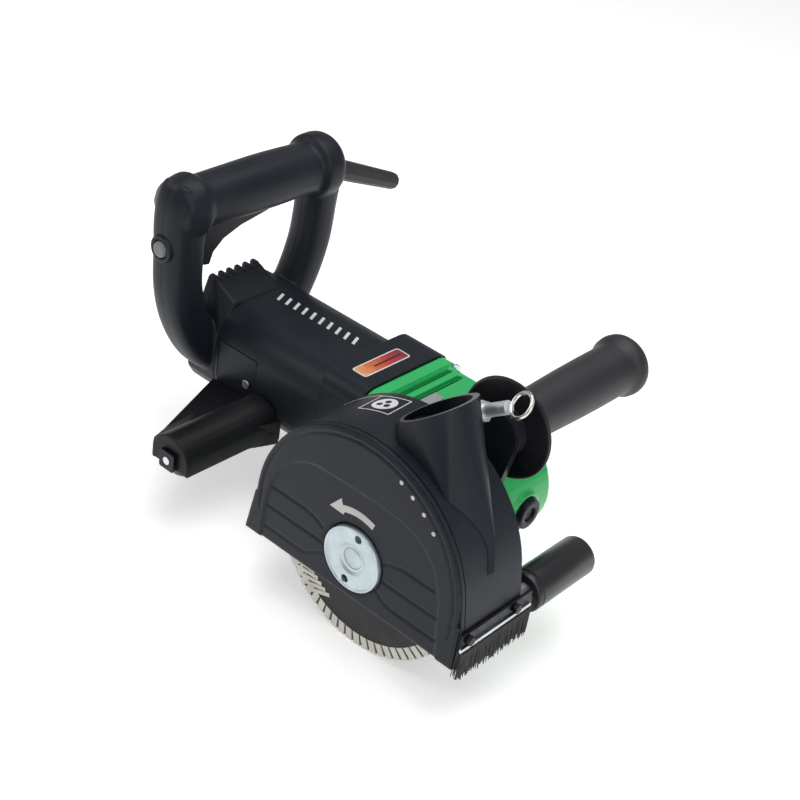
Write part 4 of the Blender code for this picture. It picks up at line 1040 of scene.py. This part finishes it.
left_leg = bar_along([(24, 2, 15), (12, 12, 15), (1, 28, 15), (-8, 48, 15), (-13, 70, 15), (-14, 96, 15.3),
                      (-14, 114, 16), (-14, 128, 15.5), (-12.5, 137, 14.5), (-10.5, 143, 12.5)], 36, 3.2)
right_leg = bar_along([(120, 127.5, 17), (120, 112, 16), (120, 96, 15), (118, 70, 15), (112, 48, 15),
                       (103, 28, 15), (92, 8, 15)])
grip_bar = bar_along([(-26, 127.5, 9), (-25, 127.5, 14), (-22, 127.5, 18.3), (-16, 127.5, 20.6),
                      (-8, 127.5, 22.2), (-4.5, 127.5, 21.6), (-1, 127.5, 18.9), (8, 127.5, 18.6),
                      (60, 127.5, 19.6), (98, 127.5, 18.8), (104, 127.5, 19.4), (107.5, 127.5, 22.6),
                      (111, 127.5, 23.6), (121, 127.5, 23.4), (126, 127.5, 20), (129, 127.5, 12)], 36, 2.1)
loop_item = clean_copy(["handle_front_shell", "handle_rear_shell"])
work = bmesh.new()
work.from_mesh(loop_item.data)
for bar in (left_leg, right_leg, grip_bar):
    work.from_mesh(bar)
    bpy.data.meshes.remove(bar)
work.to_mesh(loop_item.data)
work.free()
skin = loop_item.modifiers.new("skin", "REMESH")
skin.mode = "VOXEL"
skin.voxel_size = 0.0010
ease = loop_item.modifiers.new("ease", "SMOOTH")
ease.factor = 0.5
ease.iterations = 6
rooms = [block((-240.8, -1.5, 60), (-223.2, 69.5, 125)), block((-232.15, -80, -80), (-231.85, 180, 200))]
for room in rooms:
    cut = loop_item.modifiers.new("room", "BOOLEAN")
    cut.operation = "DIFFERENCE"
    cut.solver = "MANIFOLD"
    cut.object = room
thin = loop_item.modifiers.new("thin", "DECIMATE")
thin.ratio = 0.45
loop_mesh = applied(loop_item)
for room in rooms:
    bpy.data.objects.remove(room)
shown("loop_handle", smooth_turned(loop_mesh, 50), nylon, "machine",
      ["handle_front_shell", "handle_rear_shell"])


# Switch gear: a smooth finger trigger in the grip's near corner, and a lock-on button in the left
# leg with a grey face in a black collar.
shown("finger_trigger", broken_edges(["trigger"], 1.1, 3), dark_nylon, "trigger",
      ["trigger"])
knob = [(-19, 0), (-19, 4), (-25, 4), (-25, 5.8), (-31.6, 5.8), (-32.4, 5.4), (-32.9, 4.6), (-33, 3.4),
        (-32.6, 0)]
knob_grey = plastic("button_grey", (0.16, 0.165, 0.175), 0.3, 0.3)
shown("lock_on_knob", smooth_turned(lathe(knob, "Y", (-232, 0, 100), 40)), knob_grey, "lock_button",
      ["lock_button"])
collar = [(-26.5, 6.5), (-26.5, 10.2), (-29.5, 10.2), (-31.0, 9.6), (-31.4, 8.6), (-31.2, 7.2), (-30.4, 6.5)]
shown("lock_on_collar", smooth_turned(lathe(collar, "Y", (-232, 0, 100), 48)), dark_nylon, "machine")


# Cable boot: a tapered sleeve of black rubber that leaves the grip's far end. Nothing runs on
# from it.
rubber = plastic("boot_rubber", (0.012, 0.0125, 0.014), 0.5, 0.2)
shown("rubber_boot", broken_edges(["cable_boot"], 0.8, 3), rubber, "machine", ["cable_boot"])
